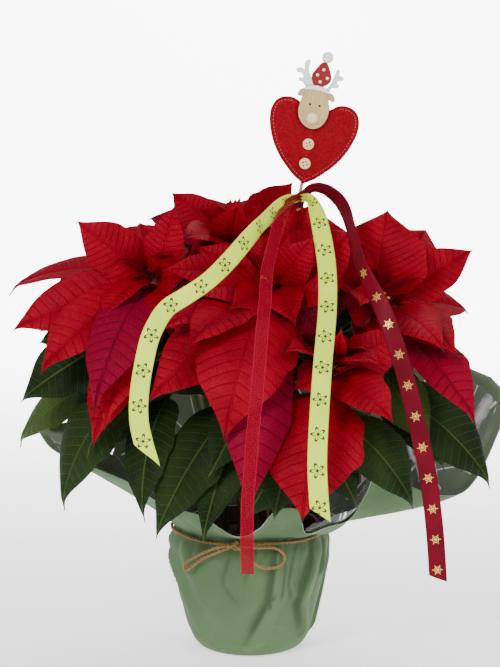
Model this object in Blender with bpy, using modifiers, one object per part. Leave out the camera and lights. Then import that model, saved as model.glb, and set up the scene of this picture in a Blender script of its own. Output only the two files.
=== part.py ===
"""A poinsettia in its pot, wrapped as a gift.

Seven leafy stems stand in the soil of a plastic pot. Each ends in a star of red bracts round its
small yellow flowers. Green paper, lined with clear film and tied with twine, wraps the pot and
flares out round the plant. A felt heart with a wooden reindeer stands on a stick in the soil, and
three ribbons hang from a knot below it.
"""

import math

import bmesh
import bpy
from mathutils import Matrix, Vector
from mathutils.bvhtree import BVHTree

for old in list(bpy.data.objects):
    bpy.data.objects.remove(old)

# Driving dimensions, in millimetres. The frame is +Z up with the floor at z = 0, and the pot
# stands at the origin. The front of the plant looks along -Y.
MM = 0.001
GAP = 0.3
HOLE_GAP = 0.4
HOLE = 60.0
UP = Vector((0, 0, 1))
POT_HEIGHT = 116.0
POT_BOTTOM_R = 43.0
POT_TOP_R = 64.0
POT_WALL = 1.8
SOIL_DEPTH = 15.0
PAPER = 0.7
FILM = 0.5
FILM_GAP = 1.2
BASE_R = 44.0
WRAP_R = 71.5
TIE_HEIGHT = 117.0
TWINE_R = 1.4
STEM_ROOT_R = 4.2
STEM_TIP_R = 2.8
HUB_R = 3.6
HUB_LENGTH = 34.0
BLADE = 0.9
STICK_R = 1.6
HEART_THICK = 5.0
RIBBON_THICK = 0.6

collection = bpy.data.collections.new("poinsettia")
bpy.context.scene.collection.children.link(collection)


# Materials


def material(name, colour, roughness, alpha=1.0):
    made = bpy.data.materials.new(name)
    made.use_nodes = True
    shader = made.node_tree.nodes["Principled BSDF"]
    shader.inputs["Base Color"].default_value = (*colour, 1.0)
    shader.inputs["Roughness"].default_value = roughness
    shader.inputs["Alpha"].default_value = alpha
    return made


BRACT_RED = material("bract_red", (0.55, 0.005, 0.012), 0.55)
LEAF_GREEN = material("leaf_green", (0.03, 0.09, 0.02), 0.5)
FLOWER_YELLOW = material("flower_yellow", (0.45, 0.42, 0.05), 0.5)
WRAP_GREEN = material("wrap_green", (0.17, 0.27, 0.17), 0.7)
CLEAR_FILM = material("clear_film", (0.8, 0.85, 0.82), 0.05, 0.35)
POT_BROWN = material("pot_brown", (0.2, 0.07, 0.03), 0.5)
SOIL_DARK = material("soil_dark", (0.02, 0.012, 0.007), 0.95)
TWINE_JUTE = material("twine_jute", (0.35, 0.2, 0.08), 0.9)
FELT_RED = material("felt_red", (0.4, 0.003, 0.012), 0.95)
WOOD_PALE = material("wood_pale", (0.6, 0.4, 0.22), 0.6)
RIBBON_LIME = material("ribbon_lime", (0.5, 0.65, 0.13), 0.4)
RIBBON_WINE = material("ribbon_wine", (0.27, 0.0, 0.02), 0.35)
RIBBON_SHEER = material("ribbon_sheer", (0.6, 0.02, 0.04), 0.5, 0.6)


# Helpers that make and join solids


def object_from(name, bm, finish, smooth=True):
    """A named object at the origin from a bmesh whose points are in millimetres."""
    bmesh.ops.scale(bm, vec=(MM, MM, MM), verts=bm.verts)
    mesh = bpy.data.meshes.new(name)
    bm.to_mesh(mesh)
    bm.free()
    mesh.materials.append(finish)
    if smooth:
        mesh.shade_smooth()
    made = bpy.data.objects.new(name, mesh)
    collection.objects.link(made)
    return made


def applied(obj):
    """The object with its modifiers, or its curve's bevel, made into plain mesh, in the same place."""
    bpy.context.view_layer.update()
    graph = bpy.context.evaluated_depsgraph_get()
    mesh = bpy.data.meshes.new_from_object(obj.evaluated_get(graph))
    welded = bmesh.new()
    welded.from_mesh(mesh)
    bmesh.ops.remove_doubles(welded, verts=welded.verts, dist=0.00001)
    welded.to_mesh(mesh)
    welded.free()
    name, place = obj.name, obj.matrix_world.copy()
    bpy.data.objects.remove(obj)
    made = bpy.data.objects.new(name, mesh)
    made.matrix_world = place
    collection.objects.link(made)
    return made


def thickened(obj, thickness):
    wall = obj.modifiers.new("wall", "SOLIDIFY")
    wall.thickness = thickness * MM
    wall.offset = 0.0
    return applied(obj)


def sheet(name, rows, columns, place, thickness, finish):
    """A thin solid from a grid of rows and columns, whose points place(row, column) gives."""
    bm = bmesh.new()
    bmesh.ops.create_grid(bm, x_segments=rows - 1, y_segments=columns - 1, size=0.5)
    for vert in bm.verts:
        row = round((vert.co.x + 0.5) * (rows - 1))
        column = round((vert.co.y + 0.5) * (columns - 1))
        vert.co = place(row, column)
    bmesh.ops.remove_doubles(bm, verts=bm.verts, dist=0.01)
    bmesh.ops.triangulate(bm, faces=bm.faces, quad_method="FIXED")
    return thickened(object_from(name, bm, finish), thickness)


def combined(body, others, operation):
    """One solid from a body and other solids, by a single Boolean, with the others then removed."""
    helpers = bpy.data.collections.new("helpers")
    bpy.context.scene.collection.children.link(helpers)
    for other in others:
        collection.objects.unlink(other)
        helpers.objects.link(other)
    join = body.modifiers.new("join", "BOOLEAN")
    join.operation = operation
    join.operand_type = "COLLECTION"
    join.collection = helpers
    join.solver = "MANIFOLD"
    made = applied(body)
    for other in list(helpers.objects):
        bpy.data.objects.remove(other)
    bpy.data.collections.remove(helpers)
    return made


def tube(name, points, radii, finish, sides=1, cyclic=False):
    """A round tube through points in millimetres, as a poly curve with a bevel and filled caps."""
    curve = bpy.data.curves.new(name, "CURVE")
    curve.dimensions = "3D"
    curve.bevel_depth = MM
    curve.bevel_resolution = sides
    curve.use_fill_caps = not cyclic
    spline = curve.splines.new("POLY")
    spline.points.add(len(points) - 1)
    for knot, point, radius in zip(spline.points, points, radii):
        knot.co = (*(Vector(point) * MM), 1.0)
        knot.radius = radius
    spline.use_cyclic_u = cyclic
    curve.materials.append(finish)
    made = bpy.data.objects.new(name, curve)
    collection.objects.link(made)
    return applied(made)


def turned(name, profile, steps, finish):
    """A closed profile of (radius, height) points turned round the vertical axis."""
    bm = bmesh.new()
    ring = [bm.verts.new((radius, 0.0, height)) for radius, height in profile]
    for first, second in zip(ring, ring[1:]):
        bm.edges.new((first, second))
    made = object_from(name, bm, finish, smooth=False)
    screw = made.modifiers.new("turn", "SCREW")
    screw.steps = steps
    screw.render_steps = steps
    screw.use_merge_vertices = True
    screw.merge_threshold = 0.00001
    return applied(made)


def smooth_path(points, steps):
    """Points on a Catmull-Rom curve through the given ones, with so many steps a span."""
    ends = [2 * points[0] - points[1], *points, 2 * points[-1] - points[-2]]
    made = []
    for a, b, c, d in zip(ends, ends[1:], ends[2:], ends[3:]):
        for step in range(steps):
            t = step / steps
            made.append(0.5 * (2 * b + (c - a) * t + (2 * a - 5 * b + 4 * c - d) * t**2
                               + (3 * b - a - 3 * c + d) * t**3))
    return [*made, points[-1]]


def cubic(a, b, c, d, t):
    return a * (1 - t) ** 3 + 3 * b * t * (1 - t) ** 2 + 3 * c * t**2 * (1 - t) + d * t**3


def cubic_slope(a, b, c, d, t):
    return 3 * ((b - a) * (1 - t) ** 2 + 2 * (c - b) * t * (1 - t) + (d - c) * t**2)


# The paper wrap and its film lining. Azimuth 0 is the front, 90 the right, 180 the back.
# Each entry is (azimuth, reach from the axis, height) of the paper's cut edge.

RIM = (
    (-8, 97, 126), (4, 104, 134), (12, 112, 153), (21, 119, 153), (26, 112, 130), (31, 131, 138),
    (40, 136, 143), (50, 134, 160), (63, 134, 186), (71, 156, 160), (80, 192, 148),
    (86, 212, 160), (90, 230, 192), (93, 244, 228), (99, 234, 247), (118, 190, 262),
    (135, 168, 240), (152, 178, 252), (170, 200, 258), (188, 188, 240), (208, 160, 222),
    (226, 150, 226), (240, 148, 190), (249, 146, 164), (257, 150, 176), (266, 164, 208),
    (275, 197, 204), (285, 180, 190), (296, 132, 170), (308, 113, 154), (320, 104, 147),
    (334, 100, 143),
)
WALL = ((0, 0), (BASE_R, 0), (50, 2), (57, 14), (64.5, 44), (WRAP_R, 84), (WRAP_R, TIE_HEIGHT))
FILM_WALL_ROW = 2
PLEATS = 7
PLEAT_DEPTH = 1.5
COLLAR_ROWS = 4
BOWL_AZIMUTH = 80
WRAP_ROWS = len(WALL) + COLLAR_ROWS


def around(azimuth, reach, height):
    """The point at an azimuth in degrees, a reach and a height."""
    angle = math.radians(azimuth)
    return Vector((reach * math.sin(angle), -reach * math.cos(angle), height))


def wrap_point(column, row, film=False):
    """A point on the middle of the paper, or of the film that lines it."""
    azimuth, reach, height = RIM[column % len(RIM)]
    inset = FILM_GAP + (PAPER + FILM) / 2 if film else 0.0
    if row < len(WALL):
        radius, level = WALL[row]
        wave = math.sin(math.pi * row / (len(WALL) - 1)) if row > 2 else 0.0
        swell = PLEAT_DEPTH * wave * math.sin(PLEATS * math.radians(azimuth))
        lift = GAP + (PAPER + FILM) / 2 if film and row <= FILM_WALL_ROW else 0.0
        lift += 1.4 * inset if row == len(WALL) - 1 else 0.0
        shrink = inset if row >= FILM_WALL_ROW else 0.0
        return around(azimuth, radius + swell - shrink, level + PAPER / 2 + lift)
    neck = around(azimuth, WRAP_R, TIE_HEIGHT + PAPER / 2)
    edge = around(azimuth, reach, height)
    low = neck.lerp(edge, 0.6)
    steepness = 0.38 - 0.24 * math.cos(math.radians(azimuth - BOWL_AZIMUTH))
    low.z = neck.z + steepness * (edge.z - neck.z)
    t = (row - len(WALL) + 1) / COLLAR_ROWS
    if film:
        t *= 1 + film_change(azimuth) / (edge - neck).length
    point = neck * (1 - t) ** 2 + low * 2 * t * (1 - t) + edge * t**2
    return point + around(azimuth, -0.9 * inset, 1.4 * inset) if film else point


def film_change(azimuth):
    """How far the film stands past the paper's edge, which it does at the front right alone."""
    return 20.0 if 26 < azimuth < 66 else -11.0


def wrap_sheet(name, film, thickness, finish):
    return sheet(name, WRAP_ROWS, len(RIM) + 1, lambda row, column: wrap_point(column, row, film),
                 thickness, finish)


def make_wrap():
    """The paper, whose underside is flat on the floor, and its lining of film."""
    paper = wrap_sheet("wrap_paper", False, PAPER, WRAP_GREEN)
    for vert in paper.data.vertices:
        if vert.co.z < 0.1 * MM:
            vert.co.z = 0.0
    wrap_sheet("wrap_film", True, FILM, CLEAR_FILM)


# The pot and its soil

POT_FOOT = PAPER + GAP + FILM + GAP
POT_FLOOR = POT_FOOT + POT_WALL
SOIL_TOP = POT_HEIGHT - SOIL_DEPTH


def make_pot():
    inner_top = POT_TOP_R - POT_WALL
    inner_bottom = POT_BOTTOM_R - POT_WALL
    profile = (
        (0, POT_FLOOR), (inner_bottom, POT_FLOOR), (inner_top, POT_HEIGHT),
        (POT_TOP_R + 1.5, POT_HEIGHT), (POT_TOP_R + 1.5, POT_HEIGHT - 9),
        (POT_TOP_R - 1.0, POT_HEIGHT - 9), (POT_BOTTOM_R, POT_FOOT), (0, POT_FOOT),
    )
    turned("pot", profile, 28, POT_BROWN)


def inner_radius(height):
    share = (height - POT_FLOOR) / (POT_HEIGHT - POT_FLOOR)
    return POT_BOTTOM_R - POT_WALL + share * (POT_TOP_R - POT_BOTTOM_R)


def make_soil(holes):
    """A plug of soil with a lumpy top and a plain hole for each stem and for the stick."""
    low = POT_FLOOR + GAP
    wall = inner_radius(SOIL_TOP) - 2 * GAP
    profile = ((0, SOIL_TOP + 3), (18, SOIL_TOP + 2.5), (36, SOIL_TOP + 1), (50, SOIL_TOP),
               (wall, SOIL_TOP - 1), (inner_radius(low) - 2 * GAP, low), (0, low))
    soil = turned("soil", profile, 18, SOIL_DARK)
    for vert in soil.data.vertices:
        if vert.co.z > (SOIL_TOP - 0.5) * MM:
            vert.co.z += MM * math.sin(310 * vert.co.x + 1) * math.cos(270 * vert.co.y)
    cutters = []
    for start, end, radius in holes:
        cutters.append(tube("cutter", [start, end], [radius] * 2, SOIL_DARK, sides=2))
    combined(soil, cutters, "DIFFERENCE")


# The twine, tied round the wrap in a bow at the front left

TWINE_RING = WRAP_R + PAPER / 2 + TWINE_R + 0.5
TWINE_LEVEL = TIE_HEIGHT - 4
TWINE_KNOT = Vector((-13, -75.5, TWINE_LEVEL))
RIGHT_LOOP = ((-13, -75.5, 113), (4, -80, 112), (22, -78, 111), (31, -75, 103), (27, -76, 94),
              (12, -79, 93), (-2, -78, 102), (-13, -75.5, 113))
LEFT_LOOP = ((-13, -75.5, 113), (-28, -75, 107), (-43, -67, 98), (-54, -60, 88), (-58, -57, 84),
             (-60, -56, 90), (-48, -67, 101), (-30, -77, 111), (-13, -75.5, 113))


def make_twine():
    ring = [around(a, TWINE_RING, TWINE_LEVEL) for a in range(0, 360, 12)]
    body = tube("twine_tie", ring, [TWINE_R] * len(ring), TWINE_JUTE, 0, cyclic=True)
    pieces = []
    for corners in (RIGHT_LOOP, LEFT_LOOP):
        path = smooth_path([Vector(p) for p in corners], 2)
        pieces.append(tube("loop", path, [TWINE_R] * len(path), TWINE_JUTE, 0))
    bm = bmesh.new()
    bmesh.ops.create_uvsphere(bm, u_segments=7, v_segments=5, radius=3.2)
    bmesh.ops.translate(bm, vec=TWINE_KNOT, verts=bm.verts)
    pieces.append(object_from("knot", bm, TWINE_JUTE))
    combined(body, pieces, "UNION")


# The pick: a stick, a felt heart, and a wooden reindeer with a nose and two buttons

STICK_FOOT = Vector((12, 22, 66))
HEART_TIP = Vector((48, -10, 432))
HEART_LEAN = math.radians(10)
HEART_HALF = ((0, 0), (22, 16), (37, 38), (42, 57), (37, 74), (22, 81), (8, 77), (0, 68))
REINDEER = (
    (0, 53), (9, 56), (14, 65), (14, 76), (12, 84), (15, 88), (20, 84), (22, 87), (20, 92), (14, 93),
    (11, 94), (13, 98), (18, 99), (22, 104), (20, 106), (24, 110), (22, 112), (17, 108), (16, 115),
    (13, 114), (13, 106), (8, 98), (9, 105), (6, 112), (7, 119), (1, 121), (-3, 117), (-2, 112),
    (-7, 104), (-8, 98), (-11, 106), (-10, 117), (-13, 118), (-14, 111), (-18, 114), (-22, 113),
    (-20, 109), (-15, 106), (-20, 104), (-18, 101), (-12, 99), (-11, 94), (-15, 93), (-20, 92),
    (-22, 87), (-20, 84), (-15, 88), (-12, 84), (-14, 76), (-14, 65), (-9, 56),
)


def on_heart(x, z, y=0.0):
    """A point of the heart's own plane, leaning to the right about its tip."""
    return HEART_TIP + Vector((x * math.cos(HEART_LEAN) + z * math.sin(HEART_LEAN), y,
                               z * math.cos(HEART_LEAN) - x * math.sin(HEART_LEAN)))


STICK_BACK = HEART_THICK / 2 + GAP + STICK_R
STICK_BEND = on_heart(-1, -4, STICK_BACK)
STICK_TOP = on_heart(1, 44, STICK_BACK)
KNOT_LOW = STICK_FOOT.lerp(STICK_BEND, 0.955)
KNOT_TOP = STICK_FOOT.lerp(STICK_BEND, 0.988)
KNOT_R = 4.4


def flat_plate(name, outline, thickness, finish, front):
    """A plate in the heart's plane, from an outline of (x, z) points, with its front face at front."""
    bm = bmesh.new()
    face = bm.faces.new([bm.verts.new((x, front + thickness, z)) for x, z in outline])
    grown = bmesh.ops.extrude_face_region(bm, geom=[face])["geom"]
    moved = [v for v in grown if isinstance(v, bmesh.types.BMVert)]
    bmesh.ops.translate(bm, vec=(0, -thickness, 0), verts=moved)
    bmesh.ops.recalc_face_normals(bm, faces=bm.faces)
    for vert in bm.verts:
        vert.co = on_heart(vert.co.x, vert.co.z, vert.co.y)
    bmesh.ops.triangulate(bm, faces=bm.faces)
    return object_from(name, bm, finish, smooth=False)


def disc(name, back, radius, thickness, finish):
    """A round plate facing the front, with the middle of its back face at the given point."""
    bm = bmesh.new()
    bmesh.ops.create_cone(bm, segments=14, radius1=radius, radius2=radius * 0.86, depth=thickness,
                          cap_ends=True, matrix=Matrix.Rotation(math.radians(90), 4, "X"))
    bmesh.ops.translate(bm, vec=back - Vector((0, thickness / 2, 0)), verts=bm.verts)
    return object_from(name, bm, finish, smooth=False)


def make_pick():
    tube("pick_stick", [STICK_FOOT, STICK_BEND, STICK_TOP], [STICK_R] * 3, WOOD_PALE, sides=2)
    half = smooth_path([Vector((*p, 0)) for p in HEART_HALF], 2)
    outline = [(p.x, p.y) for p in half] + [(-p.x, p.y) for p in half[-2:0:-1]]
    flat_plate("heart", outline, HEART_THICK, FELT_RED, -HEART_THICK / 2)
    front = -HEART_THICK / 2 - GAP
    board = 3.0
    flat_plate("reindeer", REINDEER, board, WOOD_PALE, front - board)
    disc("reindeer_nose", on_heart(0, 64, front - board - GAP), 5.4, 4.5, WOOD_PALE)
    disc("button_upper", on_heart(-1, 40, front), 5.2, 1.8, WOOD_PALE)
    disc("button_lower", on_heart(-1, 21, front), 5.2, 1.8, WOOD_PALE)


# Ribbons. Each is one strip that crosses in front of the knot and hangs down on both sides.
# A point of a path is (x, y, z, turn in degrees, width). At turn 0 the face looks to the front.

SHEER_PATH = (
    (-2, -181, 117, 0, 11), (-2.5, -184, 150, 0, 11), (-2, -185, 181, 0, 11), (0, -185, 206, 5, 11),
    (2.5, -183, 239, 5, 11), (6.6, -179, 280, 0, 11), (10, -167, 320, 0, 11), (12.5, -152, 343, 0, 11),
    (14.5, -127, 366, 5, 11), (19, -105, 382, 10, 11), (24.5, -76, 400, 15, 11),
    (31, -46, 413, 15, 9), (38, -28, 420, 0, 7), (45, -12.7, 422, 0, 6),
)
LIME_PATH = (
    (-81, -167, 179, 0, 16), (-88, -172, 197, 0, 16), (-92, -174, 215, 5, 16),
    (-92, -173, 240, 10, 16), (-86, -168, 265, 15, 16), (-75, -162, 288, 15, 16),
    (-62, -153, 309, 15, 16), (-42, -140, 332, 20, 16), (-13, -118, 359, 25, 16),
    (6, -92, 381, 30, 15), (18, -64, 400, 20, 13), (31, -34, 415, 0, 9), (43, -11.5, 421, 0, 7),
    (48, -11.5, 421, 0, 7), (55, -25, 420, 0, 9), (60, -48, 408, 0, 14), (64, -68, 388, 0, 16),
    (67, -90, 362, 0, 16), (66, -118, 330, 0, 16), (61, -150, 290, 0, 16), (57, -178, 250, 0, 16),
    (55, -192, 215, 0, 16), (56, -200, 188, 0, 16), (58, -202, 166, 0, 16),
)
SATIN_PATH = (
    (42, -10.2, 421, 0, 6), (49, -10.3, 423, 0, 7), (56, -12, 426, 0, 8), (63, -18, 430, 10, 10),
    (76, -35, 427, 20, 13),
    (86, -60, 410, 15, 15), (90, -80, 392, 10, 15), (96, -100, 372, 5, 15),
    (109, -125, 340, 0, 15), (119, -136, 316, 0, 15), (131, -146, 275, 0, 15),
    (142, -150, 233, -5, 15), (151, -151, 190, 0, 15), (157, -150, 146, 0, 15),
    (161, -148, 100, 0, 15),
)
RIBBONS = (("ribbon_sheer", SHEER_PATH, RIBBON_SHEER), ("ribbon_lime", LIME_PATH, RIBBON_LIME),
           ("ribbon_satin", SATIN_PATH, RIBBON_WINE))


def ribbon_grid(path, steps=1):
    """The two edge points of a ribbon at each step along its path."""
    places = smooth_path([Vector(p) for p in path], steps)
    last = len(places) - 1
    edges = []
    for row, place in enumerate(places):
        point = Vector(place[:3])
        along = Vector(places[min(row + 1, last)][:3]) - Vector(places[max(row - 1, 0)][:3])
        along.normalize()
        front = Vector((0, -1, 0))
        front = (front - front.dot(along) * along).normalized()
        front = Matrix.Rotation(math.radians(place[3]), 3, along) @ front
        side = along.cross(front) * place[4] / 2
        edges.append((point - side, point + side))
    return edges


def make_ribbons():
    knot = tube("ribbon_knot", [KNOT_LOW, KNOT_TOP], [KNOT_R] * 2, RIBBON_WINE, sides=2)
    beyond = (KNOT_TOP - KNOT_LOW).normalized() * 8
    bore = tube("bore", [KNOT_LOW - beyond, KNOT_TOP + beyond], [STICK_R + GAP] * 2, RIBBON_WINE,
                sides=2)
    combined(knot, [bore], "DIFFERENCE")
    for name, path, finish in RIBBONS:
        edges = ribbon_grid(path)
        sheet(name, len(edges), 2, lambda row, column: edges[row][column], RIBBON_THICK, finish)


# The plant. A star is its top, the foot of its stem, and its bracts. A blade is (seat below the
# top, tip, width, arch, where its face looks, fold in degrees). A face of None looks up and out.

BRACTS = {
    "front": ((72, -95, 291), (20, -34), (
        (30, (43, -175, 156), 88, 26, (-0.1, -1, 0.45), -8),
        (24, (121, -170, 242), 46, 12, (0.1, -1, 0.9), 8),
        (20, (29, -150, 301), 36, 10, (-0.2, -0.8, 0.8), 8),
        (20, (112, -140, 287), 36, 12, (0.2, -0.6, 1), 8),
        (26, (108, -100, 337), 46, 8, (0.2, -1, 0.3), 12),
        (12, (70, -138, 318), 20, 5, (0, -1, 0.6), 14),
        (12, (100, -130, 300), 20, 5, None, 14),
        (12, (46, -118, 318), 18, 5, None, 14),
        (26, (140, -80, 272), 44, 12, None, 6),
        (24, (78, -35, 300), 36, 8, None, 10),
    )),
    "middle": ((18, -45, 360), (4, -16), (
        (28, (-23, -160, 220), 86, 34, (-0.1, -1, 0.5), -8),
        (31, (0, -165, 153), 60, 26, (-0.05, -1, 0.35), -6),
        (31, (-91, -122, 249), 60, 20, (-0.1, -1, 0.5), -6),
        (24, (-80, -60, 360), 42, 12, (-0.1, -0.8, 0.9), 8),
        (27, (-68, -88, 342), 42, 12, (-0.2, -0.8, 0.8), 8),
        (30, (-78, -110, 312), 44, 14, (-0.3, -0.8, 0.8), 6),
        (28, (-63, -130, 290), 48, 16, (-0.3, -0.9, 0.7), 6),
        (30, (66, -60, 300), 46, 16, (0.2, -1, 0.5), 0),
        (22, (-50, -30, 378), 40, 8, (-0.2, -0.9, 0.6), 10),
        (20, (49, 0, 417), 38, 6, (-0.1, -1, 0.2), 12),
        (22, (56, -80, 392), 38, 6, (0.2, -1, 0.3), 12),
        (26, (76, -88, 338), 42, 10, (0.3, -1, 0.5), 8),
        (24, (40, -112, 315), 36, 14, (0.2, -1, 0.3), 8),
        (12, (-10, -72, 380), 20, 4, None, 14),
        (12, (38, -76, 372), 18, 4, None, 14),
    )),
    "left": ((-92, -10, 366), (-30, -6), (
        (26, (-135, -130, 242), 54, 26, (-0.25, -1, 0.4), -6),
        (28, (-188, -90, 268), 56, 20, (-0.3, -1, 0.7), 6),
        (28, (-219, -40, 302), 52, 18, (-0.2, -1, 0.5), 6),
        (22, (-159, -20, 402), 48, 8, (-0.2, -1, 0.3), 8),
        (22, (-232, 30, 329), 42, 20, (-0.2, -0.4, 1), 6),
        (30, (-127, -122, 224), 48, 20, (-0.2, -1, 0.4), -6),
        (31, (-139, -110, 206), 50, 14, (-0.25, -1, 0.35), -4),
        (28, (-62, -96, 300), 46, 14, (0.1, -1, 0.5), -4),
        (29, (-38, -70, 282), 48, 14, (0.3, -1, 0.5), -4),
        (24, (-32, -40, 340), 42, 10, (0.2, -0.9, 0.7), 6),
        (26, (-142, -62, 314), 36, 14, (-0.6, -0.6, 0.8), 8),
        (14, (-105, 40, 397), 26, 4, (0, -1, 0.1), 12),
        (12, (-122, -45, 368), 20, 4, None, 14),
        (12, (-70, -46, 372), 20, 4, None, 14),
        (28, (-140, 80, 330), 50, 14, None, 6),
        (26, (-72, 66, 362), 44, 10, None, 8),
        (24, (-190, 76, 332), 46, 16, None, 8),
    )),
    "right": ((126, -20, 342), (34, -8), (
        (26, (183, -90, 286), 60, 16, (0.4, -0.9, 0.8), -6),
        (32, (199, -110, 227), 54, 18, (0.5, -1, 0.5), 10),
        (20, (168, 40, 391), 62, 8, (0, -1, 0.4), 8),
        (22, (186, 0, 402), 44, 6, (-0.2, -1, 0.2), 12),
        (26, (208, 20, 312), 44, 12, (0.3, -0.6, 0.9), 6),
        (30, (155, -112, 292), 50, 18, (0.2, -1, 0.5), -4),
        (31, (175, -64, 262), 44, 14, (0.6, -1, 0.3), 0),
        (24, (84, 4, 388), 44, 6, (0, -1, 0.4), 8),
        (28, (96, -80, 330), 42, 12, (-0.2, -0.9, 0.6), 4),
        (28, (72, 20, 330), 44, 12, None, 6),
        (12, (112, -52, 362), 20, 4, None, 14),
        (12, (152, -48, 358), 20, 4, None, 14),
        (28, (165, 88, 330), 50, 14, None, 6),
    )),
    "top": ((-17, 40, 392), (-8, 16), (
        (20, (-73, 60, 428), 38, 5, (-0.1, -1, 0.3), 10),
        (24, (-100, 70, 398), 42, 10, (-0.2, -0.7, 0.8), 8),
        (18, (2, 66, 434), 38, 5, (0, -1, 0.3), 10),
        (22, (38, 54, 438), 42, 6, (0.2, -1, 0.3), 10),
        (26, (-64, -26, 384), 44, 12, (-0.2, -0.8, 0.8), 8),
        (24, (26, -18, 394), 38, 8, None, 10),
        (13, (-50, 14, 412), 24, 4, (-0.1, -1, 0.5), 14),
        (12, (-30, -2, 414), 20, 3, (0, -1, 0.5), 14),
        (12, (10, 14, 414), 22, 4, (0.1, -1, 0.5), 14),
        (28, (-60, 124, 384), 52, 16, None, 6),
        (28, (10, 132, 384), 52, 16, None, 6),
        (26, (52, 96, 392), 44, 12, None, 8),
        (28, (-30, -44, 352), 44, 14, (-0.1, -1, 0.5), 4),
    )),
    "back_right": ((70, 110, 345), (24, 34), (
        (28, (172, 150, 306), 54, 16, None, 6),
        (30, (132, 200, 284), 54, 18, None, 6),
        (30, (62, 212, 292), 56, 18, None, 6),
        (28, (2, 186, 318), 50, 14, None, 6),
        (24, (128, 84, 372), 46, 8, None, 8),
        (12, (92, 140, 364), 22, 5, None, 14),
        (12, (52, 136, 366), 22, 5, None, 14),
    )),
    "back_left": ((-80, 100, 340), (-24, 32), (
        (28, (-188, 128, 306), 54, 16, None, 6),
        (30, (-150, 184, 284), 54, 18, None, 6),
        (30, (-86, 206, 290), 56, 18, None, 6),
        (28, (-24, 176, 318), 50, 14, None, 6),
        (24, (-140, 64, 368), 44, 8, None, 8),
        (12, (-100, 134, 360), 22, 5, None, 14),
        (12, (-60, 132, 362), 22, 5, None, 14),
    )),
}
LEAVES = {
    "left": (
        (60, (-212, -40, 236), 62, 22, (-0.3, -1, 0.4), 4),
        (100, (-172, -62, 139), 64, 40, (-0.4, -0.7, 0.7), -4),
        (70, (-152, -46, 246), 42, 16, (-0.4, -1, 0.4), 4),
        (104, (-205, 30, 146), 46, 34, (-0.3, -0.8, 0.8), 0),
        (88, (-146, -92, 196), 38, 20, (-0.3, -0.8, 0.8), 4),
        (120, (-94, -112, 142), 48, 30, (-0.5, -0.9, 0.5), 0),
        (78, (-146, -66, 206), 28, 14, (-0.5, -1, 0.2), 6),
    ),
    "middle": (
        (110, (-86, -102, 122), 54, 40, (-0.3, -1, 0.3), 0),
        (98, (-37, -122, 184), 46, 20, (0.1, -1, 0.3), 0),
        (124, (-46, -130, 132), 42, 26, (-0.3, -1, 0.4), 0),
        (70, (74, -74, 250), 44, 16, (0.3, -1, 0.4), 0),
        (80, (-84, -84, 250), 44, 16, (-0.3, -1, 0.4), 0),
        (116, (-10, -112, 156), 44, 22, (0, -1, 0.3), 0),
    ),
    "front": (
        (64, (144, -124, 156), 52, 34, (0.1, -0.9, 0.8), 0),
        (84, (94, -138, 160), 44, 28, (0.1, -1, 0.4), 0),
        (96, (20, -124, 146), 44, 26, (-0.1, -1, 0.3), 0),
    ),
    "right": (
        (96, (221, -60, 160), 62, 36, (0.1, -0.9, 0.9), 0),
        (84, (178, -60, 176), 48, 26, (0.3, -1, 0.5), 0),
        (64, (160, -96, 204), 46, 16, (0.1, -1, 0.4), 4),
    ),
    "back_right": (
        (60, (150, 160, 262), 58, 18, None, 0),
        (64, (40, 190, 268), 58, 18, None, 0),
        (56, (128, 36, 282), 44, 14, (0.3, -0.8, 0.8), 0),
        (70, (60, 24, 258), 44, 14, (0, -1, 0.6), 0),
    ),
    "back_left": (
        (60, (-170, 140, 262), 58, 18, None, 0),
        (64, (-70, 190, 262), 58, 18, None, 0),
        (56, (-140, 40, 280), 44, 14, (-0.3, -0.8, 0.8), 0),
        (70, (-70, 24, 256), 44, 14, (0, -1, 0.6), 0),
    ),
    "top": (
        (60, (-76, 0, 300), 44, 14, (-0.2, -1, 0.5), 0),
        (66, (56, 10, 280), 44, 14, (0.2, -1, 0.5), 0),
        (84, (-20, -40, 260), 44, 14, (0, -1, 0.4), 0),
    ),
}
BRACT_PETIOLE = 0.14
LEAF_PETIOLE = 0.24
PETIOLE_HALF = 1.7
CUTS = (0.14, 0.34, 0.56, 0.79, 1.0)
NARROW_CUTS = (0.16, 0.4, 0.7, 1.0)
WIDEST = 0.37
WAVE = 0.035
NARROW = 50
SINK = 1.9


class Stem:
    """A leafy stem, upright in the soil, that bends out to the centre of its bloom."""

    def __init__(self, name, top, foot):
        self.name = name
        self.foot = Vector((*foot, SOIL_TOP - 32))
        self.top = Vector(top)
        start = Vector((*foot, SOIL_TOP + 6))
        rise = self.top.z - start.z
        low = start + UP * rise * 0.4
        high = self.top.lerp(start, 0.25)
        high.z = self.top.z - 0.3 * rise
        bend = [cubic(start, low, high, self.top, step / 24) for step in range(25)]
        self.path = [self.foot, *bend]

    def below(self, distance):
        """The point of the stem's middle at a distance down from its top."""
        left = distance
        for upper, lower in zip(self.path[::-1], self.path[-2::-1]):
            span = (lower - upper).length
            if left <= span:
                return upper.lerp(lower, left / span)
            left -= span
        return self.foot.copy()

    def stretch(self, start, end, steps):
        """Points down the stem from one distance below its top to another."""
        return [self.below(start + (end - start) * step / steps) for step in range(steps + 1)]

    def length(self):
        return sum((b - a).length for a, b in zip(self.path, self.path[1:]))


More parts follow.
